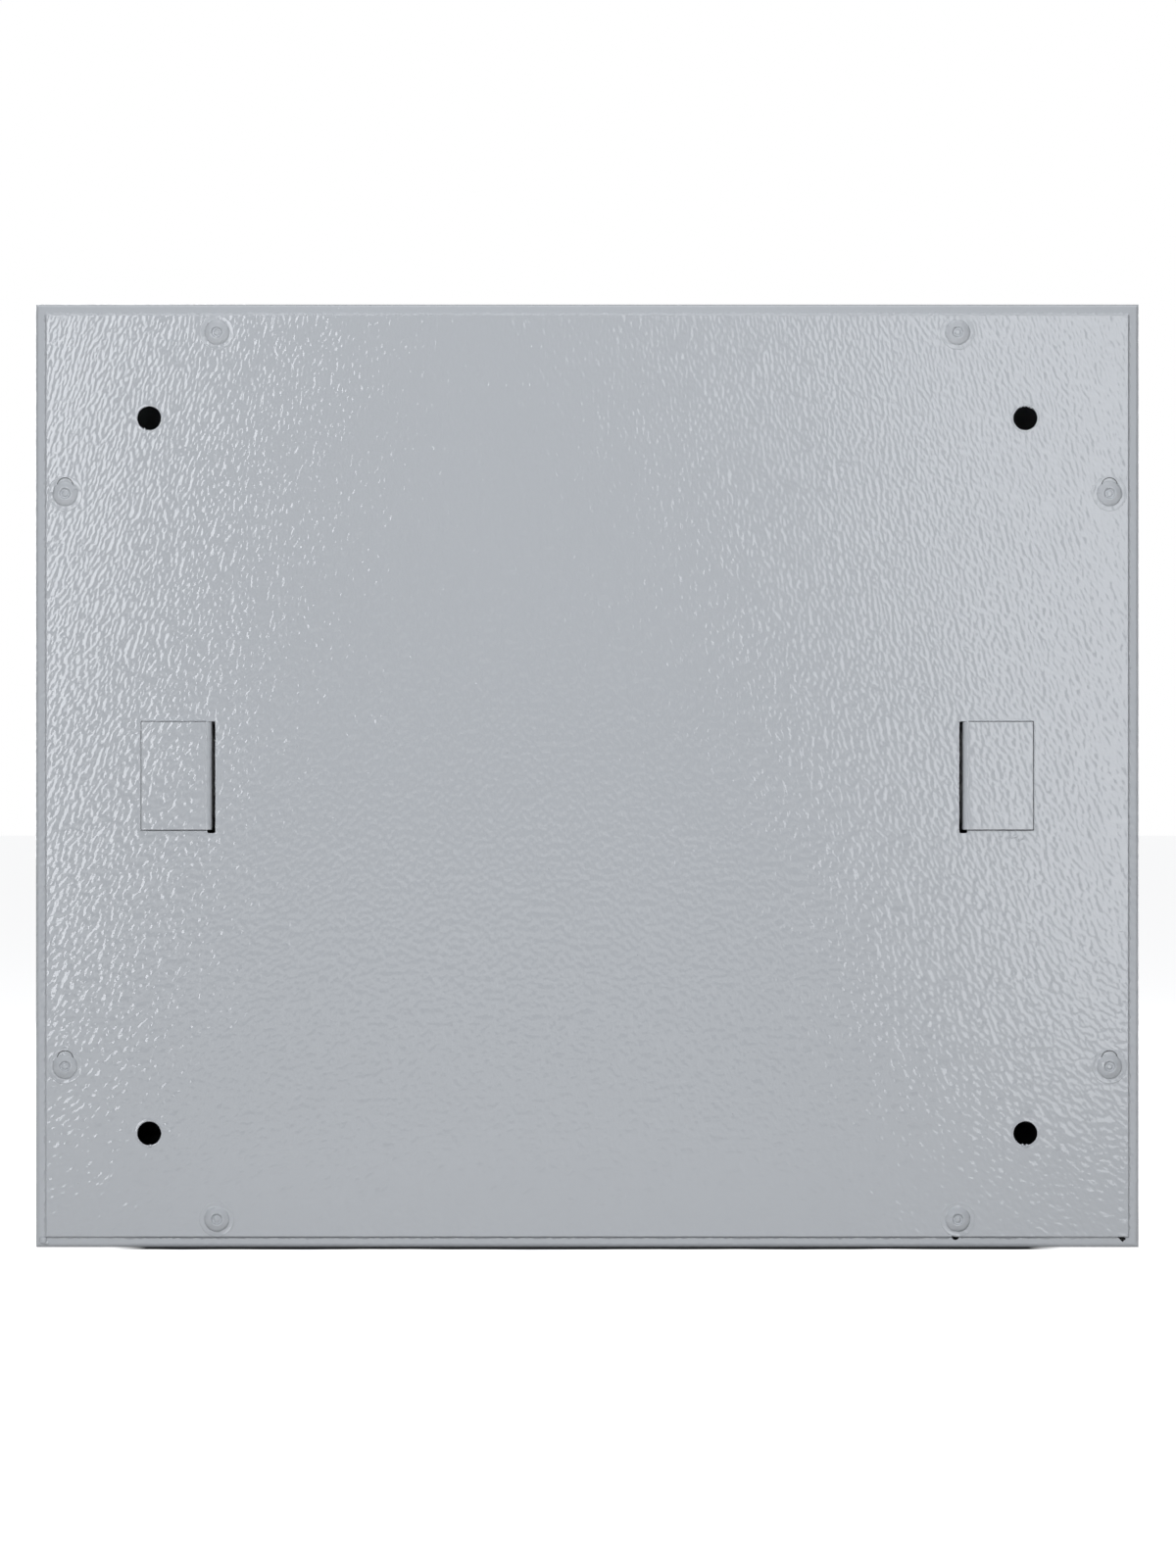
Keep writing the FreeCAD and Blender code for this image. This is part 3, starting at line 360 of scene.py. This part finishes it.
def floor_with_painted_shadow():
    """A white floor with a painted contact shadow where the box stands on it, with an uneven rear edge."""
    white = Finish("floor_with_painted_shadow", FLOOR_PAINT, 0.6)
    white.shader.inputs["Emission Color"].default_value = (1, 1, 1, 1)
    parts = white.node("ShaderNodeSeparateXYZ")
    white.link(white.place, parts.inputs["Vector"])
    side = white.node("ShaderNodeMath", operation="ABSOLUTE")
    white.link(parts.outputs["X"], side.inputs[0])
    reach = white.node("ShaderNodeMath", operation="MULTIPLY_ADD")
    reach.inputs[1].default_value = SHADOW_FADE_REAR[1]
    white.link(white.noise(35 * MM), reach.inputs[0])
    white.link(parts.outputs["Y"], reach.inputs[2])
    front = white.node("ShaderNodeMath", operation="MULTIPLY")
    front.inputs[1].default_value = -1.0
    white.link(parts.outputs["Y"], front.inputs[0])
    lit = white.spread(reach.outputs["Value"], 0.0, 1.0, *SHADOW_FADE_REAR)
    beside = white.spread(side.outputs["Value"], 0.0, 1.0, *SHADOW_FADE_SIDES)
    before = white.spread(front.outputs["Value"], 0.0, 1.0, *SHADOW_FADE_FRONT)
    for more in (beside, before):
        join = white.node("ShaderNodeMath", operation="MAXIMUM")
        white.link(lit, join.inputs[0])
        white.link(more, join.inputs[1])
        lit = join.outputs["Value"]
    # Painted shadow: the floor turns near black and stops glowing under the box and along its rear edge
    white.blend_colour(lit, PAINTED_CONTACT_SHADOW, FLOOR_PAINT)
    white.link(white.spread(lit, 0.0, FLOOR_GLOW), white.shader.inputs["Emission Strength"])
    return white.material


def softbox(name, place, width, height, aim, brightness):
    """An area light of even brightness whose face looks along aim."""
    data = bpy.data.lights.new(name, "AREA")
    data.shape = "RECTANGLE"
    data.size = width
    data.size_y = height
    data.energy = brightness * math.pi * width * height
    data.color = COOL_WHITE
    light = bpy.data.objects.new(name, data)
    light.location = place
    light.rotation_euler = aim.to_track_quat("-Z", "Y").to_euler()
    light.visible_camera = False
    bpy.context.scene.collection.objects.link(light)
    return light


def gloss_panel(name, edge, y, span, width, lean, brightness):
    """A softbox parallel to the rear plate and the door, seen only in their gloss.

    Its inner side crosses z = 0 at x = edge and leans by lean degrees, and it reaches over span in z.
    """
    normal = Vector((0, math.copysign(1, y), 0))
    panel = softbox(name, (0, 0, 0), width, span[1] - span[0], -normal, brightness)
    up = Vector((math.sin(math.radians(lean)), 0, math.cos(math.radians(lean))))
    outward = math.copysign(1, edge) * Vector((up.z, 0, -up.x))
    panel.rotation_euler = Matrix((outward, normal.cross(outward), normal)).transposed().to_euler()
    panel.location = Vector((edge, y, 0)) + up * sum(span) / 2 + outward * width / 2
    panel.visible_diffuse = False
    return panel


def light_only(panels, group, names):
    """The panels light only these pieces: on the walls and on bright metal they would glare."""
    receivers = bpy.data.collections.new(group)
    for name in names:
        receivers.objects.link(NODES[name] if name in NODES else bpy.data.objects[name])
    for panel in panels:
        panel.light_linking.receiver_collection = receivers


def camera():
    """A long lens, square on to the rear plate."""
    sensor = 36.0
    distance = 1.5
    view_height = 0.4402
    aside, above = -0.0002, -0.0023
    data = bpy.data.cameras.new("camera")
    data.sensor_width = sensor
    data.lens = sensor * distance / view_height
    data.clip_start = 0.05
    thing = bpy.data.objects.new("camera", data)
    thing.location = (aside, distance, above)
    thing.rotation_euler = Euler((math.radians(90), 0, math.radians(180)))
    bpy.context.scene.collection.objects.link(thing)
    bpy.context.scene.camera = thing
    bpy.context.scene.view_settings.view_transform = "Standard"


# ---------------------------------------------------------------- mesh helpers

def mesh_object(name, shape):
    """A mesh object from a bmesh, which is freed."""
    data = bpy.data.meshes.new(name)
    shape.to_mesh(data)
    shape.free()
    thing = bpy.data.objects.new(name, data)
    bpy.context.scene.collection.objects.link(thing)
    return thing


def piece(name, shape, slot, body, smooth=True):
    """A finished piece of the object, riding on a body."""
    thing = mesh_object(name, shape)
    thing.data.materials.append(FINISHES[slot])
    if smooth:
        thing.data.shade_smooth()
    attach(thing, body)
    return thing


def lathe(shape, outline, centre, segments=72):
    """Turns an outline of (radius, y) points about the +Y axis through centre, in millimetres."""
    rings = []
    for radius, y in outline:
        count = segments if radius else 1
        ring = []
        for n in range(count):
            angle = 2 * math.pi * n / count
            spoke = Vector((radius * math.cos(angle), y, radius * math.sin(angle)))
            ring.append(shape.verts.new((Vector(centre) + spoke) * MM))
        rings.append(ring)
    for low, high in zip(rings, rings[1:]):
        for n in range(segments):
            m = (n + 1) % segments
            corners = [low[n % len(low)], low[m % len(low)], high[m % len(high)], high[n % len(high)]]
            unique = list(dict.fromkeys(corners))
            if len(unique) > 2:
                shape.faces.new(unique)
    bmesh.ops.recalc_face_normals(shape, faces=shape.faces)


def skin(shape, rows):
    """Quads between rows of vertices."""
    for low, high in zip(rows, rows[1:]):
        for n in range(len(low) - 1):
            shape.faces.new((low[n], low[n + 1], high[n + 1], high[n]))


def soften(name, width, segments=2):
    """Rounds the sharp edges of a CAD node by modifiers."""
    thing = NODES[name]
    weld = thing.modifiers.new("weld", "WELD")
    weld.merge_threshold = 0.002 * MM
    flat = thing.modifiers.new("flat", "DECIMATE")
    flat.decimate_type = "DISSOLVE"
    flat.angle_limit = math.radians(0.5)
    bevel = thing.modifiers.new("bevel", "BEVEL")
    bevel.width = width
    bevel.segments = segments
    bevel.limit_method = "ANGLE"
    bevel.angle_limit = math.radians(30.0)
    level = thing.modifiers.new("level", "WEIGHTED_NORMAL")
    level.weight = 100
    level.keep_sharp = False
    thing.data.shade_smooth()


# ---------------------------------------------------------------- paint details on the back

CORNERS = [(s, t) for t in (-1, 1) for s in (-1, 1)]
PLAIN_RIVETS = [(s * 104.0, t * 124.5) for s, t in CORNERS]
SLOTTED_RIVETS = [(s * 146.6, t * 80.4 - 1.2) for s, t in CORNERS]
HOLE_PITCH = frame["record"]["mounts"][0]["dims"]
HOLE_X, HOLE_Z = HOLE_PITCH["spacing_x_mm"] / 2, HOLE_PITCH["spacing_y_mm"] / 2
WALL_HOLES = [(s * HOLE_X, t * HOLE_Z) for s, t in CORNERS]

# Outlines for lathe: the radius, and how far out along Y.
HOLE_LIP = [
    (3.36, -0.9), (3.32, -0.2), (3.36, 0.0), (3.48, 0.07), (3.66, 0.07), (3.9, 0.03), (4.2, -0.02),
]
RIVET_OUTLINE = [
    (4.95, -0.02), (4.85, 0.05), (4.7, 0.09), (4.5, 0.07), (4.25, 0.01), (3.8, 0.0), (3.5, 0.02),
    (3.42, 0.14), (3.36, 0.27), (3.2, 0.42), (2.95, 0.58), (2.65, 0.74), (2.3, 0.9), (1.98, 1.04),
    (1.76, 1.12), (1.58, 1.08), (1.46, 0.9), (1.34, 0.62), (1.18, 0.45), (1.0, 0.41), (0.86, 0.52),
    (0.72, 0.72), (0.55, 0.82), (0.3, 0.84), (0.0, 0.8),
]


def rear_rivets():
    """Painted blind rivets: a domed head, the dimple and the stub of the mandrel in it."""
    shape = bmesh.new()
    for x, z in PLAIN_RIVETS + SLOTTED_RIVETS:
        lathe(shape, RIVET_OUTLINE, (x, 0, z))
    wobble(shape, 0.05 * MM, 1.6 * MM)
    heads = piece("rivet_heads", shape, "powder_coat", "enclosure")
    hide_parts("rear_rivets")
    # Black arcs above the slotted rivets: painted shade along the buried edge of each slot
    lines = bmesh.new()
    for x, z in SLOTTED_RIVETS:
        arch(lines, x, z + 2.2, radius=2.15, width=0.2, y=0.14)
    piece("rivet_slot_shadow_lines", lines, "black_rubber", "enclosure", smooth=False)


def arch(shape, x, z, radius, width, y):
    """A flat half ring that faces +Y, open at the bottom: drawn in black, it is painted shade along the top of a
    slot that paint has filled.
    """
    rows = []
    for n in range(25):
        angle = math.pi * n / 24
        rows.append([
            shape.verts.new(Vector((x + r * math.cos(angle), y, z + r * math.sin(angle))) * MM)
            for r in (radius, radius + width)
        ])
    skin(shape, rows[::-1])


def wobble(shape, depth, size):
    """Push every vertex about a little, as thick paint does."""
    for vertex in shape.verts:
        vertex.co += depth * noise.noise_vector(vertex.co / size)


def hole_lips():
    """The rounded lip of paint at each wall hole, with the nibs that dried on it."""
    shape = bmesh.new()
    for x, z in WALL_HOLES:
        lathe(shape, HOLE_LIP, (x, 0, z))
    wobble(shape, 0.05 * MM, 1.3 * MM)
    for x, z, size in (
        (-123.4, -103.9, 0.55), (-122.6, -104.1, 0.4), (-122.2, -103.6, 0.35), (-123.0, -104.3, 0.3),
        (122.7, -103.9, 0.42), (123.4, -104.0, 0.3),
        (-124.6, 103.5, 0.4), (-123.8, 103.7, 0.3), (-122.8, 103.9, 0.36), (-121.7, 103.6, 0.3),
        (124.3, 97.4, 0.25),
    ):
        nib(shape, x, z, size, 0.05)
    piece("wall_hole_paint", shape, "powder_coat", "enclosure")


def nib(shape, x, z, size, y=0.0, stretch=(1.0, 0.5, 1.0), turn=0.0):
    """A small blob of paint at x, y, z in millimetres, stretched and then turned about Y in degrees."""
    made = bmesh.ops.create_icosphere(shape, subdivisions=3, radius=size * MM)["verts"]
    spin = Euler((0, math.radians(turn), 0)).to_matrix()
    for vertex in made:
        grown = Vector([a * b for a, b in zip(vertex.co, stretch)])
        grown += 0.12 * size * MM * noise.noise_vector(vertex.co * 1500 + Vector((x, size, z)))
        vertex.co = spin @ grown + Vector((x, y, z)) * MM


def specks():
    """Dust nibs, a scar and a run in the paint, and the blob at the lower corner."""
    shape = bmesh.new()
    for x, z, size, y, stretch, turn in (
        (115.4, 15.9, 0.42, 0.0, (1.6, 0.35, 0.8), 10),
        (114.6, 15.7, 0.3, 0.0, (1.0, 0.4, 1.0), 0),
        (-119.5, -17.2, 0.5, 0.0, (3.4, 0.4, 0.7), 14),
        (-121.5, -17.9, 0.4, 0.0, (2.6, 0.45, 0.8), 20),
        (-116.0, -17.0, 0.35, 0.0, (1.8, 0.4, 0.8), -12),
        (10.9, -26.2, 0.2, 0.0, (0.6, 0.5, 1.6), 24),
        (-153.3, 78.8, 0.5, -1.5, (0.7, 0.6, 1.4), 0),
        (152.9, -130.4, 1.1, -0.9, (1.0, 0.5, 1.0), 0),
        (152.0, -131.2, 0.8, -1.2, (1.3, 0.6, 0.8), 0),
        (153.8, -129.0, 0.7, -1.5, (0.7, 0.6, 1.5), 0),
    ):
        nib(shape, x, z, size, y, stretch, turn)
    for n in range(46):
        x, z = random.uniform(-150, 150), random.uniform(-126, 126)
        size, length = random.uniform(0.08, 0.16), random.uniform(1, 2.2)
        nib(shape, x, z, size, 0.0, (1, 0.6, length), random.uniform(-40, 40))
    piece("paint_nibs", shape, "powder_coat", "enclosure")


DRAIN_X, DRAIN_HALF = -103.4, 1.6


def edge_bead():
    """Paint bridging the step between the rear plate's edge and the flange, uneven along its length."""
    shape = bmesh.new()
    half_x, plate_rear, half_z = box_mm("rear_plate")[1]
    step, flange = 0.45, plate_rear - 1.0
    corners = [(half_x, half_z), (-half_x, half_z), (-half_x, -half_z), (half_x, -half_z)]
    for (x0, z0), (x1, z1) in zip(corners, corners[1:] + corners[:1]):
        length = math.hypot(x1 - x0, z1 - z0)
        along = Vector(((x1 - x0) / length, 0, (z1 - z0) / length))
        outward = Vector((-along.z, 0, along.x))
        if outward.dot(Vector((x0 + x1, 0, z0 + z1))) < 0:
            outward = -outward
        rows = []
        count = int(length / step)
        for n in range(count + 1):
            point = Vector((x0, flange, z0)) + along * (length * n / count)
            size = 0.40 + 0.36 * noise.noise(point / 1.1) + 0.12 * noise.noise(point / 5.0)
            size = max(size, 0.12)
            at_drain = abs(point.x - DRAIN_X) < DRAIN_HALF and point.z < 0
            at_mitre = point.x < 3.5 - half_x and point.z < 0.5 - half_z
            if at_drain or at_mitre:
                size = 0.02
            arc = [
                (-0.05, 0.78 * size + 0.1), (0.35 * size, 0.55 * size),
                (0.75 * size, 0.22 * size), (1.3 * size, -0.02),
            ]
            rows.append([
                shape.verts.new((point + outward * a + Vector((0, b, 0))) * MM) for a, b in arc
            ])
        skin(shape, rows)
    bmesh.ops.recalc_face_normals(shape, faces=shape.faces)
    piece("edge_paint", shape, "powder_coat", "enclosure")


def ridge(shape, start, end, width, height, y, step=0.35):
    """A raised line of paint between two points (x, z) on the plane y, uneven along its length."""
    start, end = Vector(start), Vector(end)
    along = (end - start).normalized()
    aside = Vector((-along.y, along.x))
    count = max(int((end - start).length / step), 2)
    rows = []
    for n in range(count + 1):
        point = start.lerp(end, n / count)
        place = Vector((point.x, y, point.y))
        swell = 1 + 0.5 * noise.noise(place / 0.8) + 0.25 * noise.noise(place / 4.0)
        row = []
        for k in range(7):
            turn = math.pi * k / 6
            offset = aside * (width / 2 * math.cos(turn) * swell)
            rise = height * math.sin(turn) * swell - 0.02
            row.append(shape.verts.new(Vector((point.x + offset.x, y + rise, point.y + offset.y)) * MM))
        rows.append(row)
    skin(shape, rows)


TAB_LOW, TAB_HIGH = box_mm("din_bracket_right")
TAB_INNER, TAB_OUTER, TAB_HALF = TAB_LOW.x, TAB_HIGH.x, TAB_HIGH.z
SLOT_INNER, SLOT_TOP, SLOT_BOTTOM = 104.4, 15.3, -16.1


def tab_paint():
    """The paint round the brackets' tabs: lips at the slot, a bead at the bend, and black lines at the joint that
    are painted shade for the gap beside each tab.
    """
    paint = bmesh.new()
    lines = bmesh.new()
    for s in (-1, 1):
        outer, top, foot = s * (TAB_OUTER + 0.42), TAB_HALF + 0.42, -TAB_HALF - 0.42
        inner = s * (TAB_INNER + 1.6)
        ridge(paint, (outer, foot), (outer, top), 0.36, 0.10, 0)
        ridge(paint, (outer, top), (inner, top), 0.36, 0.10, 0)
        ridge(paint, (inner, foot), (outer, foot), 0.36, 0.08, 0)
        lip = s * (SLOT_INNER - 0.16)
        ridge(paint, (lip, SLOT_BOTTOM), (lip, SLOT_TOP), 0.42, 0.12, 0)
        bead = s * (TAB_INNER + 1.55)
        ridge(paint, (bead, -TAB_HALF + 0.4), (bead, TAB_HALF - 0.4), 0.4, 0.1, 1.16)
        # Flat black strips along each tab's outer side, top and foot: painted shade for the gap at the joint
        for x0, z0, x1, z1 in (
            (TAB_OUTER, -TAB_HALF - 0.2, TAB_OUTER + 0.2, TAB_HALF + 0.2),
            (TAB_INNER + 1.6, TAB_HALF, TAB_OUTER, TAB_HALF + 0.18),
            (TAB_INNER + 1.6, -TAB_HALF - 0.2, TAB_OUTER, -TAB_HALF),
        ):
            corners = [(s * x0, z0), (s * x0, z1), (s * x1, z1), (s * x1, z0)]
            ring = [lines.verts.new(Vector((x, 0.03, z)) * MM) for x, z in corners]
            lines.faces.new(ring if s > 0 else ring[::-1])
    bmesh.ops.recalc_face_normals(paint, faces=paint.faces)
    piece("tab_paint", paint, "powder_coat", "enclosure")
    piece("tab_gap_shadow_lines", lines, "black_rubber", "enclosure", smooth=False)


def paint_sag():
    """A shallow, wavy patch where the wet paint sagged below a wall hole."""
    shape = bmesh.new()
    count, half_x, half_z, centre = 70, 15.0, 12.0, Vector((-129.0, 0, -102.5))
    hole = Vector((-HOLE_X, 0, -HOLE_Z))
    rows = []
    for i in range(count + 1):
        row = []
        for k in range(count + 1):
            u, v = 2 * i / count - 1, 2 * k / count - 1
            place = centre + Vector((u * half_x, 0, v * half_z))
            mask = max(0.0, 1 - u * u) * max(0.0, 1 - v * v)
            mask *= 0.35 + 0.65 * min(1.0, max(0.0, 0.6 + noise.noise(place / 9.0)))
            rise = mask * (0.10 + 0.16 * noise.noise(place / 3.2)) - 0.03
            if (place - hole).length < 4.6:
                rise = -0.2
            row.append(shape.verts.new((place + Vector((0, rise, 0))) * MM))
        rows.append(row)
    skin(shape, rows)
    hidden = [vertex for vertex in shape.verts if vertex.co.y < -0.1 * MM]
    bmesh.ops.delete(shape, geom=hidden, context="VERTS")
    bmesh.ops.recalc_face_normals(shape, faces=shape.faces)
    piece("paint_sag", shape, "powder_coat", "enclosure")


def round_edges():
    """Soften the edges of the carried-over nodes."""
    for name in ("din_bracket_left", "din_bracket_right"):
        soften(name, 0.8 * MM, 2)
    for name in ("shell", "rear_plate", "door", "inner_cover", "blanking_strip"):
        soften(name, 0.2 * MM)
    for device in DEVICES:
        soften(f"{device}_housing", 0.35 * MM, 3)
        soften(f"{device}_toggle", 0.3 * MM)
        soften(f"{device}_clip", 0.2 * MM)
    for name in ("rcd_test_button", "lock_housing", "lock_nut", "lock_plug", "lock_cam", "cam_screw"):
        soften(name, 0.2 * MM)


# ---------------------------------------------------------------- devices

MODULE = 18.0
NOSE = box_mm("rcd_housing")[0].y
TOGGLE_AXIS = round(joint("rcd_switching")["pos_m"][1] / MM, 2)
TOGGLE_SWING = joint("rcd_switching")["range_deg"][1]
TOGGLE_SLOTS = {"main_switch": "red_plastic", "rcd": "blue_plastic"}
FIRST_MODULE = -99.0
HUB_STEP = 1.2
LABEL_Z = 15.6


def box_at(shape, low, high, bevel=0.0):
    """A block between two corners, in millimetres, with rounded edges if asked."""
    made = bmesh.ops.create_cube(shape, size=1.0)["verts"]
    middle = [(a + b) / 2 for a, b in zip(low, high)]
    for vertex in made:
        vertex.co = Vector([(m + c * (b - a)) * MM for m, c, a, b in zip(middle, vertex.co, low, high)])
    if bevel:
        edges = {edge for vertex in made for edge in vertex.link_edges}
        bmesh.ops.bevel(
            shape, geom=list(edges), offset=bevel * MM, segments=2, affect="EDGES", profile=0.5)


def plate_outline(shape, x, z, half_x, half_z, width):
    """A thin rectangular frame on the noses of the devices."""
    left, right, foot, top = x - half_x, x + half_x, z - half_z, z + half_z
    for x0, z0, x1, z1 in (
        (left, top - width, right, top),
        (left, foot, right, foot + width),
        (left, foot + width, left + width, top - width),
        (right - width, foot + width, right, top - width),
    ):
        on_nose(shape, x0, z0, x1, z1, rise=0.08)


def on_nose(shape, x0, z0, x1, z1, rise, sunk=0.1, bevel=0.0):
    """A thin block that stands out of the noses of the devices by rise."""
    box_at(shape, (x0, NOSE - rise, z0), (x1, NOSE + sunk, z1), bevel)


def toggle_grips():
    """Ribs across both faces of each toggle, which is up at rest and tapers towards its tip."""
    swing = math.radians(TOGGLE_SWING / 2)
    reach = Vector((0, -math.cos(swing), math.sin(swing)))
    across = Vector((0, math.sin(swing), math.cos(swing)))
    toggle_length, root, tip, rib = 14.5, 2.48, 1.52, 0.34
    for device in DEVICES:
        x, half = toggle_span(device)
        shape = bmesh.new()
        for along in (11.1, 12.2, 13.3):
            thick = root + (tip - root) * along / toggle_length
            for side in (-1, 1):
                centre = Vector((x, TOGGLE_AXIS, 0)) + reach * along + across * side * thick
                ends = []
                for end in (-1, 1):
                    loop = []
                    for n in range(9):
                        angle = math.pi * (n / 8)
                        offset = rib * (reach * math.cos(angle) + across * side * math.sin(angle))
                        point = centre + offset + Vector((end * (half - 0.5), 0, 0))
                        loop.append(shape.verts.new(point * MM))
                    shape.faces.new(loop)
                    ends.append(loop)
                skin(shape, ends)
        bmesh.ops.recalc_face_normals(shape, faces=shape.faces)
        slot = TOGGLE_SLOTS.get(device, "black_plastic")
        piece(f"{device}_grip", shape, slot, f"{device}_lever")


def toggle_span(device):
    """X of a toggle's middle, and the half width of its grip, which is narrower than its hub."""
    low, high = box_mm(f"{device}_toggle")
    return round((low.x + high.x) / 2, 2), round((high.x - low.x) / 2 - HUB_STEP, 2)


def printed(text, x, z, height):
    """Flat printed characters on the noses of the devices."""
    curve = bpy.data.curves.new("printing", "FONT")
    curve.body = text
    curve.align_x = "CENTER"
    curve.align_y = "CENTER"
    curve.size = height * MM * 1.4
    holder = bpy.data.objects.new("printing", curve)
    bpy.context.scene.collection.objects.link(holder)
    evaluated = holder.evaluated_get(bpy.context.evaluated_depsgraph_get())
    data = bpy.data.meshes.new_from_object(evaluated)
    bpy.data.objects.remove(holder)
    shape = bmesh.new()
    shape.from_mesh(data)
    bpy.data.meshes.remove(data)
    for vertex in shape.verts:
        vertex.co = Vector((x * MM + vertex.co.x, (NOSE - 0.04) * MM, z * MM + vertex.co.y))
    return shape


def window(shape, x):
    """The window below a toggle that shows whether it is on."""
    on_nose(shape, x - 3.2, -15.4, x + 3.2, -12.4, rise=0.12, sunk=0.2, bevel=0.1)


def device_faces():
    """What is printed or moulded on the noses: circuit numbers, frames, position windows."""
    dark = bmesh.new()
    windows = bmesh.new()
    breakers_x = [toggle_span(device)[0] for device in BREAKERS]
    for x in breakers_x:
        plate_outline(dark, x, LABEL_Z, 7.4, 4.2, 0.25)
        window(windows, x)
        on_nose(dark, x - 7.4, -19.6, x + 7.4, -19.3, rise=0.06)
        on_nose(dark, x - 7.4, -10.3, x + 7.4, -10.1, rise=0.06)
    for device in ("main_switch", "rcd"):
        low, high = box_mm(f"{device}_housing")
        plate_outline(dark, round((low.x + high.x) / 2, 2), 16.4, 15.5, 3.6, 0.3)
        window(windows, toggle_span(device)[0])
    piece("nose_lines", dark, "black_plastic", "enclosure", smooth=False)
    piece("nose_windows", windows, "red_plastic", "enclosure")
    marks = [(f"circuit_number_{n + 1}", str(n + 1), x, LABEL_Z, 4.2) for n, x in enumerate(breakers_x)]
    for text, z in (("I", 5.2), ("O", -6.0)):
        marks.append((f"main_switch_mark_{text}", text, -105.4, z, 3.0))
        marks.append((f"rcd_mark_{text}", text, -38.2, z, 2.6))
    for name, text, x, z, height in marks:
        piece(name, printed(text, x, z, height), "black_plastic", "enclosure", smooth=False)


def terminal_rims():
    """A raised rim round each terminal hole on the shoulders of the devices."""
    shape = bmesh.new()
    shoulder, terminal_z, devices_wide = -94.0, 34.0, 10
    rim = [(2.85, 0.6), (2.85, -0.05), (2.95, -0.16), (3.15, -0.2), (3.4, -0.16), (3.55, 0.05)]
    for n in range(devices_wide):
        for side in (-1, 1):
            lathe(shape, rim, (FIRST_MODULE + n * MODULE, shoulder, side * terminal_z), 32)
    piece("terminal_rims", shape, "device_plastic", "enclosure")


# ---------------------------------------------------------------- lock

BEZEL = [
    (6.15, 0.3), (6.15, -1.5), (6.3, -1.62), (6.6, -1.66), (7.0, -1.6), (9.6, -1.52), (10.2, -1.36),
    (10.7, -1.0), (10.95, -0.5), (11.0, 0.0),
]
PLUG_RING = [
    (3.95, 0.2), (3.95, -1.24), (4.1, -1.3), (4.3, -1.24), (4.4, -1.16), (5.6, -1.2), (5.85, -1.12),
    (5.95, -0.9),
]


def lock_face():
    """The bezel of the lock on the door, and the ring on the plug that turns in it."""
    door_front = box_mm("door")[0].y
    lock_x = round(joint("lock_turn")["pos_m"][0] / MM, 2)
    for name, outline, body in (
        ("lock_bezel", BEZEL, "door"), ("lock_plug_ring", PLUG_RING, "door_lock"),
    ):
        shape = bmesh.new()
        lathe(shape, outline, (lock_x, door_front, 0), 96)
        piece(name, shape, "lock_chrome", body)


def build():
    """Everything that is seen on the object."""
    finish_cad_nodes()
    round_edges()
    rear_rivets()
    hole_lips()
    specks()
    edge_bead()
    tab_paint()
    paint_sag()
    toggle_grips()
    device_faces()
    terminal_rims()
    lock_face()


backdrop()
rear_panels, front_panels = lights()
camera()
build()
light_only(rear_panels, "back", [
    "rear_plate", "din_bracket_left", "din_bracket_right", "rivet_heads", "wall_hole_paint",
    "paint_nibs", "edge_paint", "tab_paint", "paint_sag",
])
light_only(front_panels, "front", ["door", "inner_cover"])
